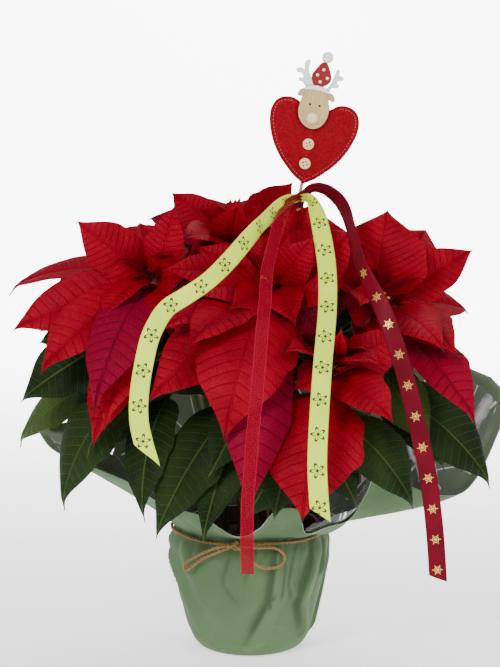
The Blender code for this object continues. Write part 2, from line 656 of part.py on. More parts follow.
class Blade:
    """A leaf or a bract, from its seat on the stem to its tip."""

    def __init__(self, stem, row, petiole):
        seat, tip, self.width, self.arch, face, self.fold = row
        middle = stem.below(seat)
        self.tip = Vector(tip)
        out = self.tip - middle
        rise = (stem.below(seat - 3) - stem.below(seat + 3)).normalized()
        self.root = middle + (out - out.dot(rise) * rise).normalized() * SINK
        self.petiole = petiole
        out.z = 0
        self.face = Vector(face) if face else out.normalized() * 0.8 + UP
        self.wave_start = seat * 0.7 + self.width * 0.31

    def bent(self, lift, swing):
        """Turns the tip about the root: lift raises it and swing moves it round the vertical."""
        out = self.tip - self.root
        level = out.cross(UP).normalized()
        turn = Matrix.Rotation(math.radians(swing), 3, "Z")
        self.tip = self.root + turn @ (Matrix.Rotation(math.radians(lift), 3, level) @ out)
        self.face = turn @ (Matrix.Rotation(math.radians(lift), 3, level) @ self.face)

    def spine(self):
        """The four control points of the midrib's curve."""
        chord = self.tip - self.root
        across = chord.normalized()
        up = (self.face - self.face.dot(across) * across).normalized() * self.arch
        return (self.root, self.root + chord * 0.3 + up * 1.4, self.root + chord * 0.7 + up * 1.2,
                self.tip)

    def half_width(self, t):
        if t <= self.petiole:
            return PETIOLE_HALF * t / self.petiole
        u = (t - self.petiole) / (1 - self.petiole)
        shape = (u / WIDEST) ** 0.7 * (max(0.0, 1 - u) / (1 - WIDEST)) ** 1.16
        return max(self.width / 2 * shape, PETIOLE_HALF * (1 - u))

    def point(self, t, v):
        """A point on the blade's middle surface: t runs from root to tip, v from -1 to 1 across."""
        spine = self.spine()
        along = cubic_slope(*spine, t).normalized()
        normal = (self.face - self.face.dot(along) * along).normalized()
        side = along.cross(normal)
        half = self.half_width(t) * v
        angle = math.radians(self.fold)
        u = max(0.0, (t - self.petiole) / (1 - self.petiole))
        wave = WAVE * self.width * v * v * math.sin(10 * u + self.wave_start + (2 if v > 0 else 0))
        height = abs(half) * math.sin(angle) + wave * (1 - u) * min(1, 4 * u)
        return cubic(*spine, t) + side * half * math.cos(angle) + normal * height

    def rows(self):
        cuts = NARROW_CUTS if self.width <= NARROW else CUTS
        return [0.0, self.petiole, *(self.petiole + (1 - self.petiole) * cut for cut in cuts)]

    def columns(self):
        return 3 if self.width <= NARROW else 5

    def grid(self):
        last = self.columns() - 1
        return [[self.point(t, 2 * c / last - 1) for c in range(last + 1)] for t in self.rows()]

    def solid(self, finish):
        grid = self.grid()
        return sheet("blade", len(grid), len(grid[0]), lambda row, column: grid[row][column], BLADE,
                     finish)


# Bending clear. Each blade, in its turn, is turned about its root by the smallest lift and swing
# at which it crosses nothing that was placed before it.

CLEARANCE = 2.0
OUTER = 3
BENDS = sorted(((lift, swing) for lift in range(-24, 29, 4) for swing in range(-30, 31, 5)),
               key=lambda bend: (abs(bend[0]) + 0.8 * abs(bend[1]) + (0.5 if bend[0] < 0 else 0), bend))


def thick_tree(grid, half):
    """A search tree of both faces of a thick sheet, from a grid of points by row and column.

    Each cell is split along both diagonals, so either way of splitting the solid is covered."""
    rows, columns = len(grid), len(grid[0])
    points, faces = [], []
    for sign in (-1, 1):
        base = len(points)
        for row in range(rows):
            for column in range(columns):
                before, after = grid[max(row - 1, 0)][column], grid[min(row + 1, rows - 1)][column]
                left, right = grid[row][max(column - 1, 0)], grid[row][min(column + 1, columns - 1)]
                normal = (after - before).cross(right - left)
                normal = normal.normalized() if normal.length > 1e-6 else Vector((0, 0, 0))
                points.append(grid[row][column] + normal * half * sign)
        for row in range(rows - 1):
            for column in range(columns - 1):
                a = base + row * columns + column
                b, c, d = a + 1, a + columns + 1, a + columns
                faces += [(a, b, c), (a, c, d), (a, b, d), (b, c, d)]
    return BVHTree.FromPolygons(points, faces)


def tube_grid(points, radius):
    """Points round a tube, one row for each point of its path."""
    grid = []
    for row, point in enumerate(points):
        along = (points[min(row + 1, len(points) - 1)] - points[max(row - 1, 0)]).normalized()
        first = along.orthogonal().normalized() * radius
        turns = [Matrix.Rotation(math.radians(60 * k), 3, along) @ first for k in range(7)]
        grid.append([point + turn for turn in turns])
    return grid


def first_obstacles(stems):
    """What the blades must clear: the wrap, the film, the pick, the ribbons and the stems."""
    placed = []
    for film in (False, True):
        grid = [[wrap_point(c, r, film) for c in range(len(RIM) + 1)] for r in range(3, WRAP_ROWS)]
        placed.append(("wrap", thick_tree(grid, CLEARANCE / 2)))
    for _, path, _ in RIBBONS:
        placed.append(("ribbon", thick_tree(ribbon_grid(path), CLEARANCE / 2)))
    stick = [STICK_FOOT.lerp(STICK_BEND, step / 6) for step in range(7)]
    placed.append(("stick", thick_tree(tube_grid([*stick, STICK_TOP], 3), 0.1)))
    placed.append(("knot", thick_tree(tube_grid([KNOT_LOW, KNOT_TOP], KNOT_R + 1), 0.1)))
    heart = [[on_heart(x, z, y) for x in (-34, 0, 34)] for z in (4, 60) for y in (-9, 6)]
    placed.append(("heart", thick_tree(heart, 0.1)))
    for stem in stems:
        shaft = stem.stretch(HUB_LENGTH, stem.length() - 20, 8)
        placed.append(("stem_" + stem.name, thick_tree(tube_grid(shaft, STEM_ROOT_R + 0.6), 0.1)))
        hub = stem.stretch(0, HUB_LENGTH - 1, 2)
        placed.append(("bracts_" + stem.name, thick_tree(tube_grid(hub, HUB_R + 0.8), 0.1)))
        rise = (stem.top - stem.below(5)).normalized()
        flowers = [stem.top + rise * height for height in (0.5, 4, 9)]
        placed.append(("flowers", thick_tree(tube_grid(flowers, 6.5), 0.1)))
    return placed


def settle(blades, placed):
    """Bends each (owner, blade) clear of all that is placed, and adds it to what is placed."""
    placed = [(owner, tree, tree) for owner, tree in placed]
    for owner, blade in blades:
        tip, face = blade.tip.copy(), blade.face.copy()
        for lift, swing in BENDS:
            blade.tip, blade.face = tip.copy(), face.copy()
            blade.bent(lift, swing)
            grid = blade.grid()
            whole = thick_tree(grid, CLEARANCE / 2)
            outer = thick_tree(grid[OUTER:], CLEARANCE / 2)
            if not any(outer.overlap(part) if other == owner else whole.overlap(tree)
                       for other, tree, part in placed):
                break
        else:
            lift = swing = 0
            blade.tip, blade.face = tip, face
            print("no clear place for", owner, [round(c) for c in tip])
        if lift or swing:
            print("bent", owner, [round(c) for c in tip], "lift", lift, "swing", swing)
        placed.append((owner, whole, outer))


def make_flowers(stem):
    """The small flowers: a short core with a ring of beads."""
    rise = (stem.top - stem.below(5)).normalized()
    low, high = stem.top + rise * GAP, stem.top + rise * 5
    core = tube("flowers_" + stem.name, [low, high], [HUB_R, HUB_R - 1], FLOWER_YELLOW)
    beads = []
    first = rise.orthogonal().normalized() * 3.8
    for turn in range(5):
        offset = Matrix.Rotation(math.radians(72 * turn), 3, rise) @ first
        bm = bmesh.new()
        bmesh.ops.create_icosphere(bm, subdivisions=1, radius=2.2)
        bmesh.ops.scale(bm, vec=(1, 1, 1.4), verts=bm.verts)
        bmesh.ops.translate(bm, vec=stem.top + offset + rise * 5, verts=bm.verts)
        beads.append(object_from("bead", bm, FLOWER_YELLOW))
    combined(core, beads, "UNION")


def make_plant():
    stems = [Stem(name, top, foot) for name, (top, foot, _) in BRACTS.items()]
    blades = []
    for stem in stems:
        blades += [("bracts_" + stem.name, Blade(stem, row, BRACT_PETIOLE))
                   for row in BRACTS[stem.name][2]]
    for stem in stems:
        blades += [("stem_" + stem.name, Blade(stem, row, LEAF_PETIOLE)) for row in LEAVES[stem.name]]
    settle(blades, first_obstacles(stems))
    for stem in stems:
        shaft = stem.stretch(HUB_LENGTH + GAP, stem.length(), 10)
        radii = [STEM_TIP_R + (STEM_ROOT_R - STEM_TIP_R) * step / 10 for step in range(11)]
        green = tube("stem_" + stem.name, shaft, radii, LEAF_GREEN)
        leaves = [blade.solid(LEAF_GREEN) for owner, blade in blades if owner == green.name]
        if leaves:
            combined(green, leaves, "UNION")
        hub = tube("bracts_" + stem.name, stem.stretch(0, HUB_LENGTH, 2), [HUB_R] * 3, BRACT_RED)
        bracts = [blade.solid(BRACT_RED) for owner, blade in blades if owner == hub.name]
        combined(hub, bracts, "UNION")
        make_flowers(stem)
    return stems


make_wrap()
make_pot()
make_twine()
make_pick()
make_ribbons()
plant = make_plant()
stick_way = (STICK_BEND - STICK_FOOT).normalized()
stem_holes = [(stem.foot - UP * GAP, stem.foot + UP * HOLE, STEM_ROOT_R + HOLE_GAP) for stem in plant]
stick_hole = (STICK_FOOT - stick_way * GAP, STICK_FOOT + stick_way * HOLE, STICK_R + HOLE_GAP)
make_soil([*stem_holes, stick_hole])
print("objects:", len(collection.objects))
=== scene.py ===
# %% [markdown]
# A poinsettia in gift wrap, dressed for a render.
#
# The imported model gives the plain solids: seven red stars of bracts on leafy stems, a pot with its
# soil, a paper wrap lined with film, a twine tie, and a felt heart on a stick with three ribbons.
# This script keeps their places and sizes and puts a finer piece over each one, with veins, folds,
# weave, stitches and paint. Lengths are in millimetres until a mesh is finished, then in metres.

# %% Load the frame
import math
import random
from itertools import product

import bmesh
import bpy
from mathutils import Matrix, Vector
from mathutils.bvhtree import BVHTree


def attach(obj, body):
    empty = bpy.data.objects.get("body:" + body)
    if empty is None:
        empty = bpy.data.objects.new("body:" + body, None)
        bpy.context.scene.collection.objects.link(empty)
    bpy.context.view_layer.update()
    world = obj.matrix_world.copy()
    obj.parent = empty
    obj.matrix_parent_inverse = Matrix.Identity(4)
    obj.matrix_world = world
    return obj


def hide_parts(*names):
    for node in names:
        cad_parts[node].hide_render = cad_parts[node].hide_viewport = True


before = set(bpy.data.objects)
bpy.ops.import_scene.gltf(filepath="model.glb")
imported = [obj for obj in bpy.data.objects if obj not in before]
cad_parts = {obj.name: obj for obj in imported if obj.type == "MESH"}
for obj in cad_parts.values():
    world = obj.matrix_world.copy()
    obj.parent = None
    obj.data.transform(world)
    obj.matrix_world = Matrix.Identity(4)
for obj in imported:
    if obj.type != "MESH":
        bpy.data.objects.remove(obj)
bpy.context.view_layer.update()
MM = 0.001
UP = Vector((0, 0, 1))
BODY = "root"

# %% [markdown]
# The camera stands where the photographer stood: about a metre and a half in front of the plant,
# at the height of the heart, and looks slightly down. The lens follows from the size of the wrap
# in the picture. A long lens keeps the pot's sides nearly parallel, as in the photograph.

# %% Camera
CAMERA_PLACE = (0.0, -1.5, 0.5)
CAMERA_PITCH = math.radians(90 - 7.8)
CAMERA_LENS = 88.0
SENSOR_WIDTH = 36.0

scene = bpy.context.scene
camera = bpy.data.objects.new("camera", bpy.data.cameras.new("camera"))
camera.location = CAMERA_PLACE
camera.rotation_euler = (CAMERA_PITCH, 0, 0)
camera.data.lens = CAMERA_LENS
camera.data.sensor_width = SENSOR_WIDTH
scene.collection.objects.link(camera)
scene.camera = camera
print("camera:", CAMERA_PLACE, "lens", CAMERA_LENS, "mm")

# %% [markdown]
# Soft studio light has no hard shadow edge. One panel from the upper left is the key, a wider and
# weaker one on the right fills the shade, one above and behind gives the leaves and the film a rim,
# and a large one lights the white sweep behind the plant. The surroundings add a little.

# %% Lights and surroundings
AIM = Vector((0, 0, 0.25))
PANELS = (
    ("key_panel", (-1.0, -1.7, 1.7), 0.7, 44.0, AIM),
    ("fill_panel", (1.3, -1.5, 1.3), 1.0, 25.0, AIM),
    ("rim_panel", (0.4, 1.1, 1.7), 1.0, 14.0, AIM),
    ("sweep_panel", (0.0, 2.2, 2.6), 2.4, 900.0, Vector((0, 4.4, 0.6))),
)
SURROUNDINGS = 0.28


def light_panel(name, place, size, power, aim):
    """A square area light that looks at a point, and that the camera doesn't see."""
    light = bpy.data.lights.new(name, "AREA")
    light.size = size
    light.energy = power
    made = bpy.data.objects.new(name, light)
    made.location = place
    made.rotation_euler = (aim - Vector(place)).to_track_quat("-Z", "Y").to_euler()
    made.visible_camera = False
    scene.collection.objects.link(made)


for panel in PANELS:
    light_panel(*panel)
scene.world = bpy.data.worlds.new("white_room")
scene.world.use_nodes = True
room = scene.world.node_tree.nodes["Background"]
room.inputs["Color"].default_value = (1.0, 1.0, 1.0, 1.0)
room.inputs["Strength"].default_value = SURROUNDINGS
print("light panels:", len(PANELS))

# %% [markdown]
# Every material below is a small tree of nodes, so a few helpers keep the trees short to write.
# The first adds a node and sets or links its inputs, and each of the others stands for one node
# that is needed often.

# %% Helpers for shader nodes


def node(tree, kind, inputs=None, **settings):
    """Adds a node to the tree. A socket among the inputs is linked, and anything else is set."""
    made = tree.nodes.new("ShaderNode" + kind)
    for key, value in settings.items():
        setattr(made, key, value)
    for key, value in (inputs or {}).items():
        if isinstance(value, bpy.types.NodeSocket):
            tree.links.new(value, made.inputs[key])
        else:
            made.inputs[key].default_value = value
    return made


def calc(tree, operation, first, second=0.0):
    """The result of a Math node."""
    return node(tree, "Math", {0: first, 1: second}, operation=operation).outputs[0]


def times(tree, first, second):
    return calc(tree, "MULTIPLY", first, second)


def ramp(tree, value, low, high, at_low=0.0, at_high=1.0):
    """A smooth step from at_low to at_high while the value goes from low to high."""
    inputs = dict(zip(("Value", "From Min", "From Max", "To Min", "To Max"),
                      (value, low, high, at_low, at_high)))
    return node(tree, "MapRange", inputs, interpolation_type="SMOOTHSTEP").outputs["Result"]


def attribute(tree, name):
    return node(tree, "Attribute", attribute_name=name, attribute_type="GEOMETRY").outputs["Fac"]


def blend(tree, share, first, second):
    """A colour between two, each a colour or a socket."""
    made = node(tree, "Mix", data_type="RGBA")
    for index, value in ((0, share), (6, first), (7, second)):
        if isinstance(value, bpy.types.NodeSocket):
            tree.links.new(value, made.inputs[index])
        else:
            made.inputs[index].default_value = value if index == 0 else (*value, 1.0)
    return made.outputs[2]


def on_object(tree):
    return node(tree, "TexCoord").outputs["Object"]


def noise(tree, scale, detail=3.0, vector=None):
    inputs = {"Vector": vector or on_object(tree), "Scale": scale, "Detail": detail}
    return node(tree, "TexNoise", inputs).outputs["Fac"]


def borders(tree, scale, vector=None):
    """The distance to the nearest border of Voronoi cells, which draws nets and creases."""
    inputs = {"Vector": vector or on_object(tree), "Scale": scale}
    return node(tree, "TexVoronoi", inputs, feature="DISTANCE_TO_EDGE").outputs["Distance"]


def bumped(tree, height, distance, strength=1.0):
    """A normal from a height, whose full range stands for the distance in metres."""
    inputs = {"Height": height, "Distance": distance, "Strength": strength}
    return node(tree, "Bump", inputs).outputs["Normal"]


# %% [markdown]
# A material starts from Blender's Principled shader. What is the same all over a surface, such as
# sheen or the index of refraction, is set on the shader itself, and what changes over it is linked
# afterwards by its own function.

# %% Start a material


def finish(name, colour, roughness, **constants):
    """A material with its Principled shader's constants set, and its tree and shader."""
    made = bpy.data.materials.new(name)
    made.use_nodes = True
    shader = made.node_tree.nodes["Principled BSDF"]
    shader.inputs["Base Color"].default_value = (*colour, 1.0)
    shader.inputs["Roughness"].default_value = roughness
    for key, value in constants.items():
        shader.inputs[key.replace("_", " ")].default_value = value
    return made, made.node_tree, shader


def wire(tree, target, **sockets):
    """Links sockets to the inputs of the same names of a shader, or of a group's end node."""
    for key, socket in sockets.items():
        tree.links.new(socket, target.inputs[key.replace("_", " ")])


def mottled(name, dark, light, scale, roughness, **constants):
    """A plain material whose colour wanders between two, with a noise of the given scale."""
    made, tree, shader = finish(name, light, roughness, **constants)
    wire(tree, shader, Base_Color=blend(tree, noise(tree, scale), dark, light))
    return made


# %% [markdown]
# The floor is a white paper sweep: flat under the plant, and bent up in one wide curve far behind
# it, so no edge shows between floor and background. It glows a little, like a light table. A grid
# is laid flat first, and every point past the start of the bend is then carried round the curve
# and up the wall.

# %% The floor
FLOOR_SIZE = 12.0
BEND_START = 3.4
BEND_R = 1.6
FLOOR_GLOW = 0.9
floor_finish = mottled("floor_white", (0.89, 0.89, 0.89), (0.91, 0.91, 0.91), 2.0, 0.8,
                       Emission_Color=(1.0, 1.0, 1.0, 1.0), Emission_Strength=FLOOR_GLOW)
floor_mesh = bmesh.new()
bmesh.ops.create_grid(floor_mesh, x_segments=4, y_segments=96, size=FLOOR_SIZE / 2)
for vert in floor_mesh.verts:
    past = vert.co.y - BEND_START
    if past > 0:
        angle = min(past / BEND_R, math.pi / 2)
        wall = max(0.0, past - BEND_R * math.pi / 2)
        vert.co.y = BEND_START + BEND_R * math.sin(angle)
        vert.co.z = BEND_R * (1 - math.cos(angle)) + wall
floor = bpy.data.objects.new("floor", bpy.data.meshes.new("floor"))
floor_mesh.to_mesh(floor.data)
floor_mesh.free()
floor.data.materials.append(floor_finish)
floor.data.shade_smooth()
scene.collection.objects.link(floor)
print("floor:", FLOOR_SIZE, "m across")

# %% [markdown]
# Leaves, bracts, ribbons, twine, stems and the paper are all one idea: a regular grid of faces
# whose points are moved to where a rule puts them. Blender's grid primitive gives the faces, and
# the rule gives the shape. Where the grid's first and last columns meet, merging the doubled
# points closes it to a tube, and where a whole row meets in one point, to a tip.

# %% Helpers for meshes
SEAM = 0.0005


def mapped_grid(bm, rows, columns, place):
    """Adds a grid with its points moved to place(row, column), and returns each point's own."""
    verts = bmesh.ops.create_grid(bm, x_segments=rows, y_segments=columns, size=0.5)["verts"]
    where = {vert: (round((vert.co.x + 0.5) * rows), round((vert.co.y + 0.5) * columns))
             for vert in verts}
    for vert, (row, column) in where.items():
        vert.co = place(row, column)
    return where


def close_seams(bm, where):
    """Merges the doubled points of a grid, where it meets itself."""
    bmesh.ops.remove_doubles(bm, verts=list(where), dist=SEAM)


def dressed(name, bm, finishes, stands_for=(), smooth=True):
    """Turns a bmesh in millimetres into a piece in metres that rides on the plant's body."""
    bmesh.ops.scale(bm, vec=(MM, MM, MM), verts=bm.verts)
    mesh = bpy.data.meshes.new(name)
    bm.to_mesh(mesh)
    bm.free()
    for each in finishes:
        mesh.materials.append(each)
    if smooth:
        mesh.shade_smooth()
    made = bpy.data.objects.new(name, mesh)
    scene.collection.objects.link(made)
    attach(made, BODY)
    if stands_for:
        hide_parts(*stands_for)
    return made


def thicken(made, thick):
    """Gives a sheet its thickness, half of it on either side, and returns the modifier."""
    solid = made.modifiers.new("thickness", "SOLIDIFY")
    solid.thickness = thick * MM
    solid.offset = 0.0
    return solid


# %% Helpers for tubes and curves


def path_frames(path):
    """Each point of a path with two directions across it, which don't twist along the path."""
    last = len(path) - 1
    across = (path[1] - path[0]).orthogonal().normalized()
    frames = []
    for row, point in enumerate(path):
        along = (path[min(row + 1, last)] - path[max(row - 1, 0)]).normalized()
        across = (across - across.dot(along) * along).normalized()
        frames.append((point, across, along.cross(across)))
    return frames


def add_tube(bm, path, radii, sides=10, flute=0.0):
    """Adds a closed tube along a path. A flute above 0 gives it a ridge every second side."""
    last = len(path) - 1
    frames = path_frames(path)

    def place(row, column):
        point, first, second = frames[min(max(row - 1, 0), last)]
        if row == 0 or row == last + 2:
            return point.copy()
        radius = radii[row - 1] * (1 + flute * (column % 2))
        angle = math.tau * (column % sides) / sides
        return point + first * radius * math.cos(angle) + second * radius * math.sin(angle)

    close_seams(bm, mapped_grid(bm, last + 2, sides, place))


def curve_value(a, b, c, d, t):
    """A Catmull-Rom value between b and c."""
    return 0.5 * (2 * b + (c - a) * t + (2 * a - 5 * b + 4 * c - d) * t**2
                  + (3 * b - a - 3 * c + d) * t**3)


def smooth_path(points, steps):
    """Points on a Catmull-Rom curve through the given ones, with so many steps a span."""
    ends = [2 * points[0] - points[1], *points, 2 * points[-1] - points[-2]]
    made = [curve_value(a, b, c, d, step / steps)
            for a, b, c, d in zip(ends, ends[1:], ends[2:], ends[3:]) for step in range(steps)]
    return [*made, points[-1]]


def cubic(a, b, c, d, t):
    return a * (1 - t) ** 3 + 3 * b * t * (1 - t) ** 2 + 3 * c * t**2 * (1 - t) + d * t**3


def cubic_slope(a, b, c, d, t):
    return 3 * ((b - a) * (1 - t) ** 2 + 2 * (c - b) * t * (1 - t) + (d - c) * t**2)


def rise_to(value, low, high):
    """A smooth step from 0 to 1 while the value goes from low to high."""
    share = min(1.0, max(0.0, (value - low) / (high - low)))
    return share * share * (3 - 2 * share)

# %% [markdown]
# The wrap is one square sheet folded up round the pot, so its cut edge stands high at its corners
# and low between them. The list follows the cut edge round: azimuth 0 is the front and 90 the
# right. From the foot to the twine the wall is nearly round. Above the twine the collar leans out
# to the cut edge on a curve, flat like a bowl on the right and steep on the left.

# %% The form of the wrap
GAP = 0.3
PAPER = 0.7
FILM = 0.5
FILM_GAP = 1.2
FILM_INSET = FILM_GAP + (PAPER + FILM) / 2
FILM_LIFT = GAP + (PAPER + FILM) / 2
BASE_R = 44.0
WRAP_R = 71.5
TIE_HEIGHT = 117.0
RIM = (
    (-8, 97, 126), (4, 104, 134), (12, 112, 153), (21, 119, 153), (26, 112, 130), (31, 131, 138),
    (40, 136, 143), (50, 134, 160), (63, 134, 186), (71, 156, 160), (80, 192, 148),
    (86, 212, 160), (90, 230, 192), (93, 244, 228), (99, 234, 247), (118, 190, 262),
    (135, 168, 240), (152, 178, 252), (170, 200, 258), (188, 188, 240), (208, 160, 222),
    (226, 150, 226), (240, 148, 190), (249, 146, 164), (257, 150, 176), (266, 164, 208),
    (275, 197, 204), (285, 180, 190), (296, 132, 170), (308, 113, 154), (320, 104, 147),
    (334, 100, 143),
)
WALL = ((0, 0), (BASE_R, 0), (50, 2), (57, 14), (64.5, 44), (WRAP_R, 84), (WRAP_R, TIE_HEIGHT))
FILM_WALL_ROW = 2
PLEATS = 7
PLEAT_DEPTH = 1.5
COLLAR_ROWS = 4
BOWL_AZIMUTH = 80
WRAP_ROWS = len(WALL) + COLLAR_ROWS


def around(azimuth, reach, height):
    """The point at an azimuth in degrees, a reach and a height."""
    angle = math.radians(azimuth)
    return Vector((reach * math.sin(angle), -reach * math.cos(angle), height))


def collar_curve(azimuth, reach, height):
    """The neck, the bend and the cut edge of the collar at an azimuth."""
    neck = around(azimuth, WRAP_R, TIE_HEIGHT + PAPER / 2)
    edge = around(azimuth, reach, height)
    low = neck.lerp(edge, 0.6)
    steepness = 0.38 - 0.24 * math.cos(math.radians(azimuth - BOWL_AZIMUTH))
    low.z = neck.z + steepness * (edge.z - neck.z)
    return neck, low, edge


def wrap_point(column, row, film=False):
    """A point on the middle of the paper, or of the film that lines it."""
    azimuth, reach, height = RIM[column % len(RIM)]
    inset = FILM_INSET if film else 0.0
    if row < len(WALL):
        radius, level = WALL[row]
        wave = math.sin(math.pi * row / (len(WALL) - 1)) if row > 2 else 0.0
        swell = PLEAT_DEPTH * wave * math.sin(PLEATS * math.radians(azimuth))
        lift = FILM_LIFT if film and row <= FILM_WALL_ROW else 0.0
        lift += 1.4 * inset if row == len(WALL) - 1 else 0.0
        shrink = inset if row >= FILM_WALL_ROW else 0.0
        return around(azimuth, radius + swell - shrink, level + PAPER / 2 + lift)
    neck, low, edge = collar_curve(azimuth, reach, height)
    t = (row - len(WALL) + 1) / COLLAR_ROWS
    if film:
        t *= 1 + film_change(azimuth) / (edge - neck).length
    point = neck * (1 - t) ** 2 + low * 2 * t * (1 - t) + edge * t**2
    return point + around(azimuth, -0.9 * inset, 1.4 * inset) if film else point


def film_change(azimuth):
    """How far the film stands past the paper's edge, which it does at the front right alone."""
    return 20.0 if 26 < azimuth < 66 else -11.0


print("cut edge:", len(RIM), "points, highest", max(height for _, _, height in RIM), "mm")

# %% [markdown]
# The pick and the ribbons are placed in the heart's own plane, which leans ten degrees to the
# right about the heart's tip. The stick runs from the soil to that tip and on up the heart's back.

# %% The form of the pick
STICK_R = 1.6
HEART_THICK = 5.0
KNOT_R = 4.4
STICK_FOOT = Vector((12, 22, 66))
HEART_TIP = Vector((48, -10, 432))
HEART_LEAN = math.radians(10)


def on_heart(x, z, y=0.0):
    """A point of the heart's own plane, leaning to the right about its tip."""
    return HEART_TIP + Vector((x * math.cos(HEART_LEAN) + z * math.sin(HEART_LEAN), y,
                               z * math.cos(HEART_LEAN) - x * math.sin(HEART_LEAN)))


STICK_BACK = HEART_THICK / 2 + GAP + STICK_R
STICK_BEND = on_heart(-1, -4, STICK_BACK)
STICK_TOP = on_heart(1, 44, STICK_BACK)
KNOT_LOW = STICK_FOOT.lerp(STICK_BEND, 0.955)
KNOT_TOP = STICK_FOOT.lerp(STICK_BEND, 0.988)

print("heart tip:", [round(c) for c in HEART_TIP], "knot:", [round(c) for c in KNOT_LOW])

# %% [markdown]
# Each ribbon is one strip that crosses in front of the knot and hangs down on both sides. Its
# route is a list of points, each with the turn of its face and its width there, because a ribbon
# narrows where it is pulled through the knot.

# %% The routes of the ribbons
SHEER_PATH = (
    (-2, -181, 117, 0, 11), (-2.5, -184, 150, 0, 11), (-2, -185, 181, 0, 11), (0, -185, 206, 5, 11),
    (2.5, -183, 239, 5, 11), (6.6, -179, 280, 0, 11), (10, -167, 320, 0, 11),
    (12.5, -152, 343, 0, 11), (14.5, -127, 366, 5, 11), (19, -105, 382, 10, 11),
    (24.5, -76, 400, 15, 11), (31, -46, 413, 15, 9), (38, -28, 420, 0, 7), (45, -12.7, 422, 0, 6),
)
LIME_PATH = (
    (-81, -167, 179, 0, 16), (-88, -172, 197, 0, 16), (-92, -174, 215, 5, 16),
    (-92, -173, 240, 10, 16), (-86, -168, 265, 15, 16), (-75, -162, 288, 15, 16),
    (-62, -153, 309, 15, 16), (-42, -140, 332, 20, 16), (-13, -118, 359, 25, 16),
    (6, -92, 381, 30, 15), (18, -64, 400, 20, 13), (31, -34, 415, 0, 9), (43, -11.5, 421, 0, 7),
    (48, -11.5, 421, 0, 7), (55, -25, 420, 0, 9), (60, -48, 408, 0, 14), (64, -68, 388, 0, 16),
    (67, -90, 362, 0, 16), (66, -118, 330, 0, 16), (61, -150, 290, 0, 16), (57, -178, 250, 0, 16),
    (55, -192, 215, 0, 16), (56, -200, 188, 0, 16), (58, -202, 166, 0, 16),
)
SATIN_PATH = (
    (42, -10.2, 421, 0, 6), (49, -10.3, 423, 0, 7), (56, -12, 426, 0, 8), (63, -18, 430, 10, 10),
    (76, -35, 427, 20, 13), (86, -60, 410, 15, 15), (90, -80, 392, 10, 15), (96, -100, 372, 5, 15),
    (109, -125, 340, 0, 15), (119, -136, 316, 0, 15), (131, -146, 275, 0, 15),
    (142, -150, 233, -5, 15), (151, -151, 190, 0, 15), (157, -150, 146, 0, 15),
    (161, -148, 100, 0, 15),
)
RIBBONS = {"ribbon_sheer": SHEER_PATH, "ribbon_lime": LIME_PATH, "ribbon_satin": SATIN_PATH}


def ribbon_grid(path, steps=1):
    """The two edge points of a ribbon at each step along its path."""
    places = smooth_path([Vector(p) for p in path], steps)
    last = len(places) - 1
    edges = []
    for row, place in enumerate(places):
        point = Vector(place[:3])
        along = Vector(places[min(row + 1, last)][:3]) - Vector(places[max(row - 1, 0)][:3])
        along.normalize()
        front = Vector((0, -1, 0))
        front = (front - front.dot(along) * along).normalized()
        front = Matrix.Rotation(math.radians(place[3]), 3, along) @ front
        side = along.cross(front) * place[4] / 2
        edges.append((point - side, point + side))
    return edges


print("ribbon routes:", {name: len(path) for name, path in RIBBONS.items()})

# %% [markdown]
# The plant is seven stems. A star is its top, the foot of its stem and its bracts. A blade, bract
# or leaf, is its seat below the star's top, its tip, its width, how far it arches, where its face
# looks and how far it is folded. No two are alike, as on the real plant.

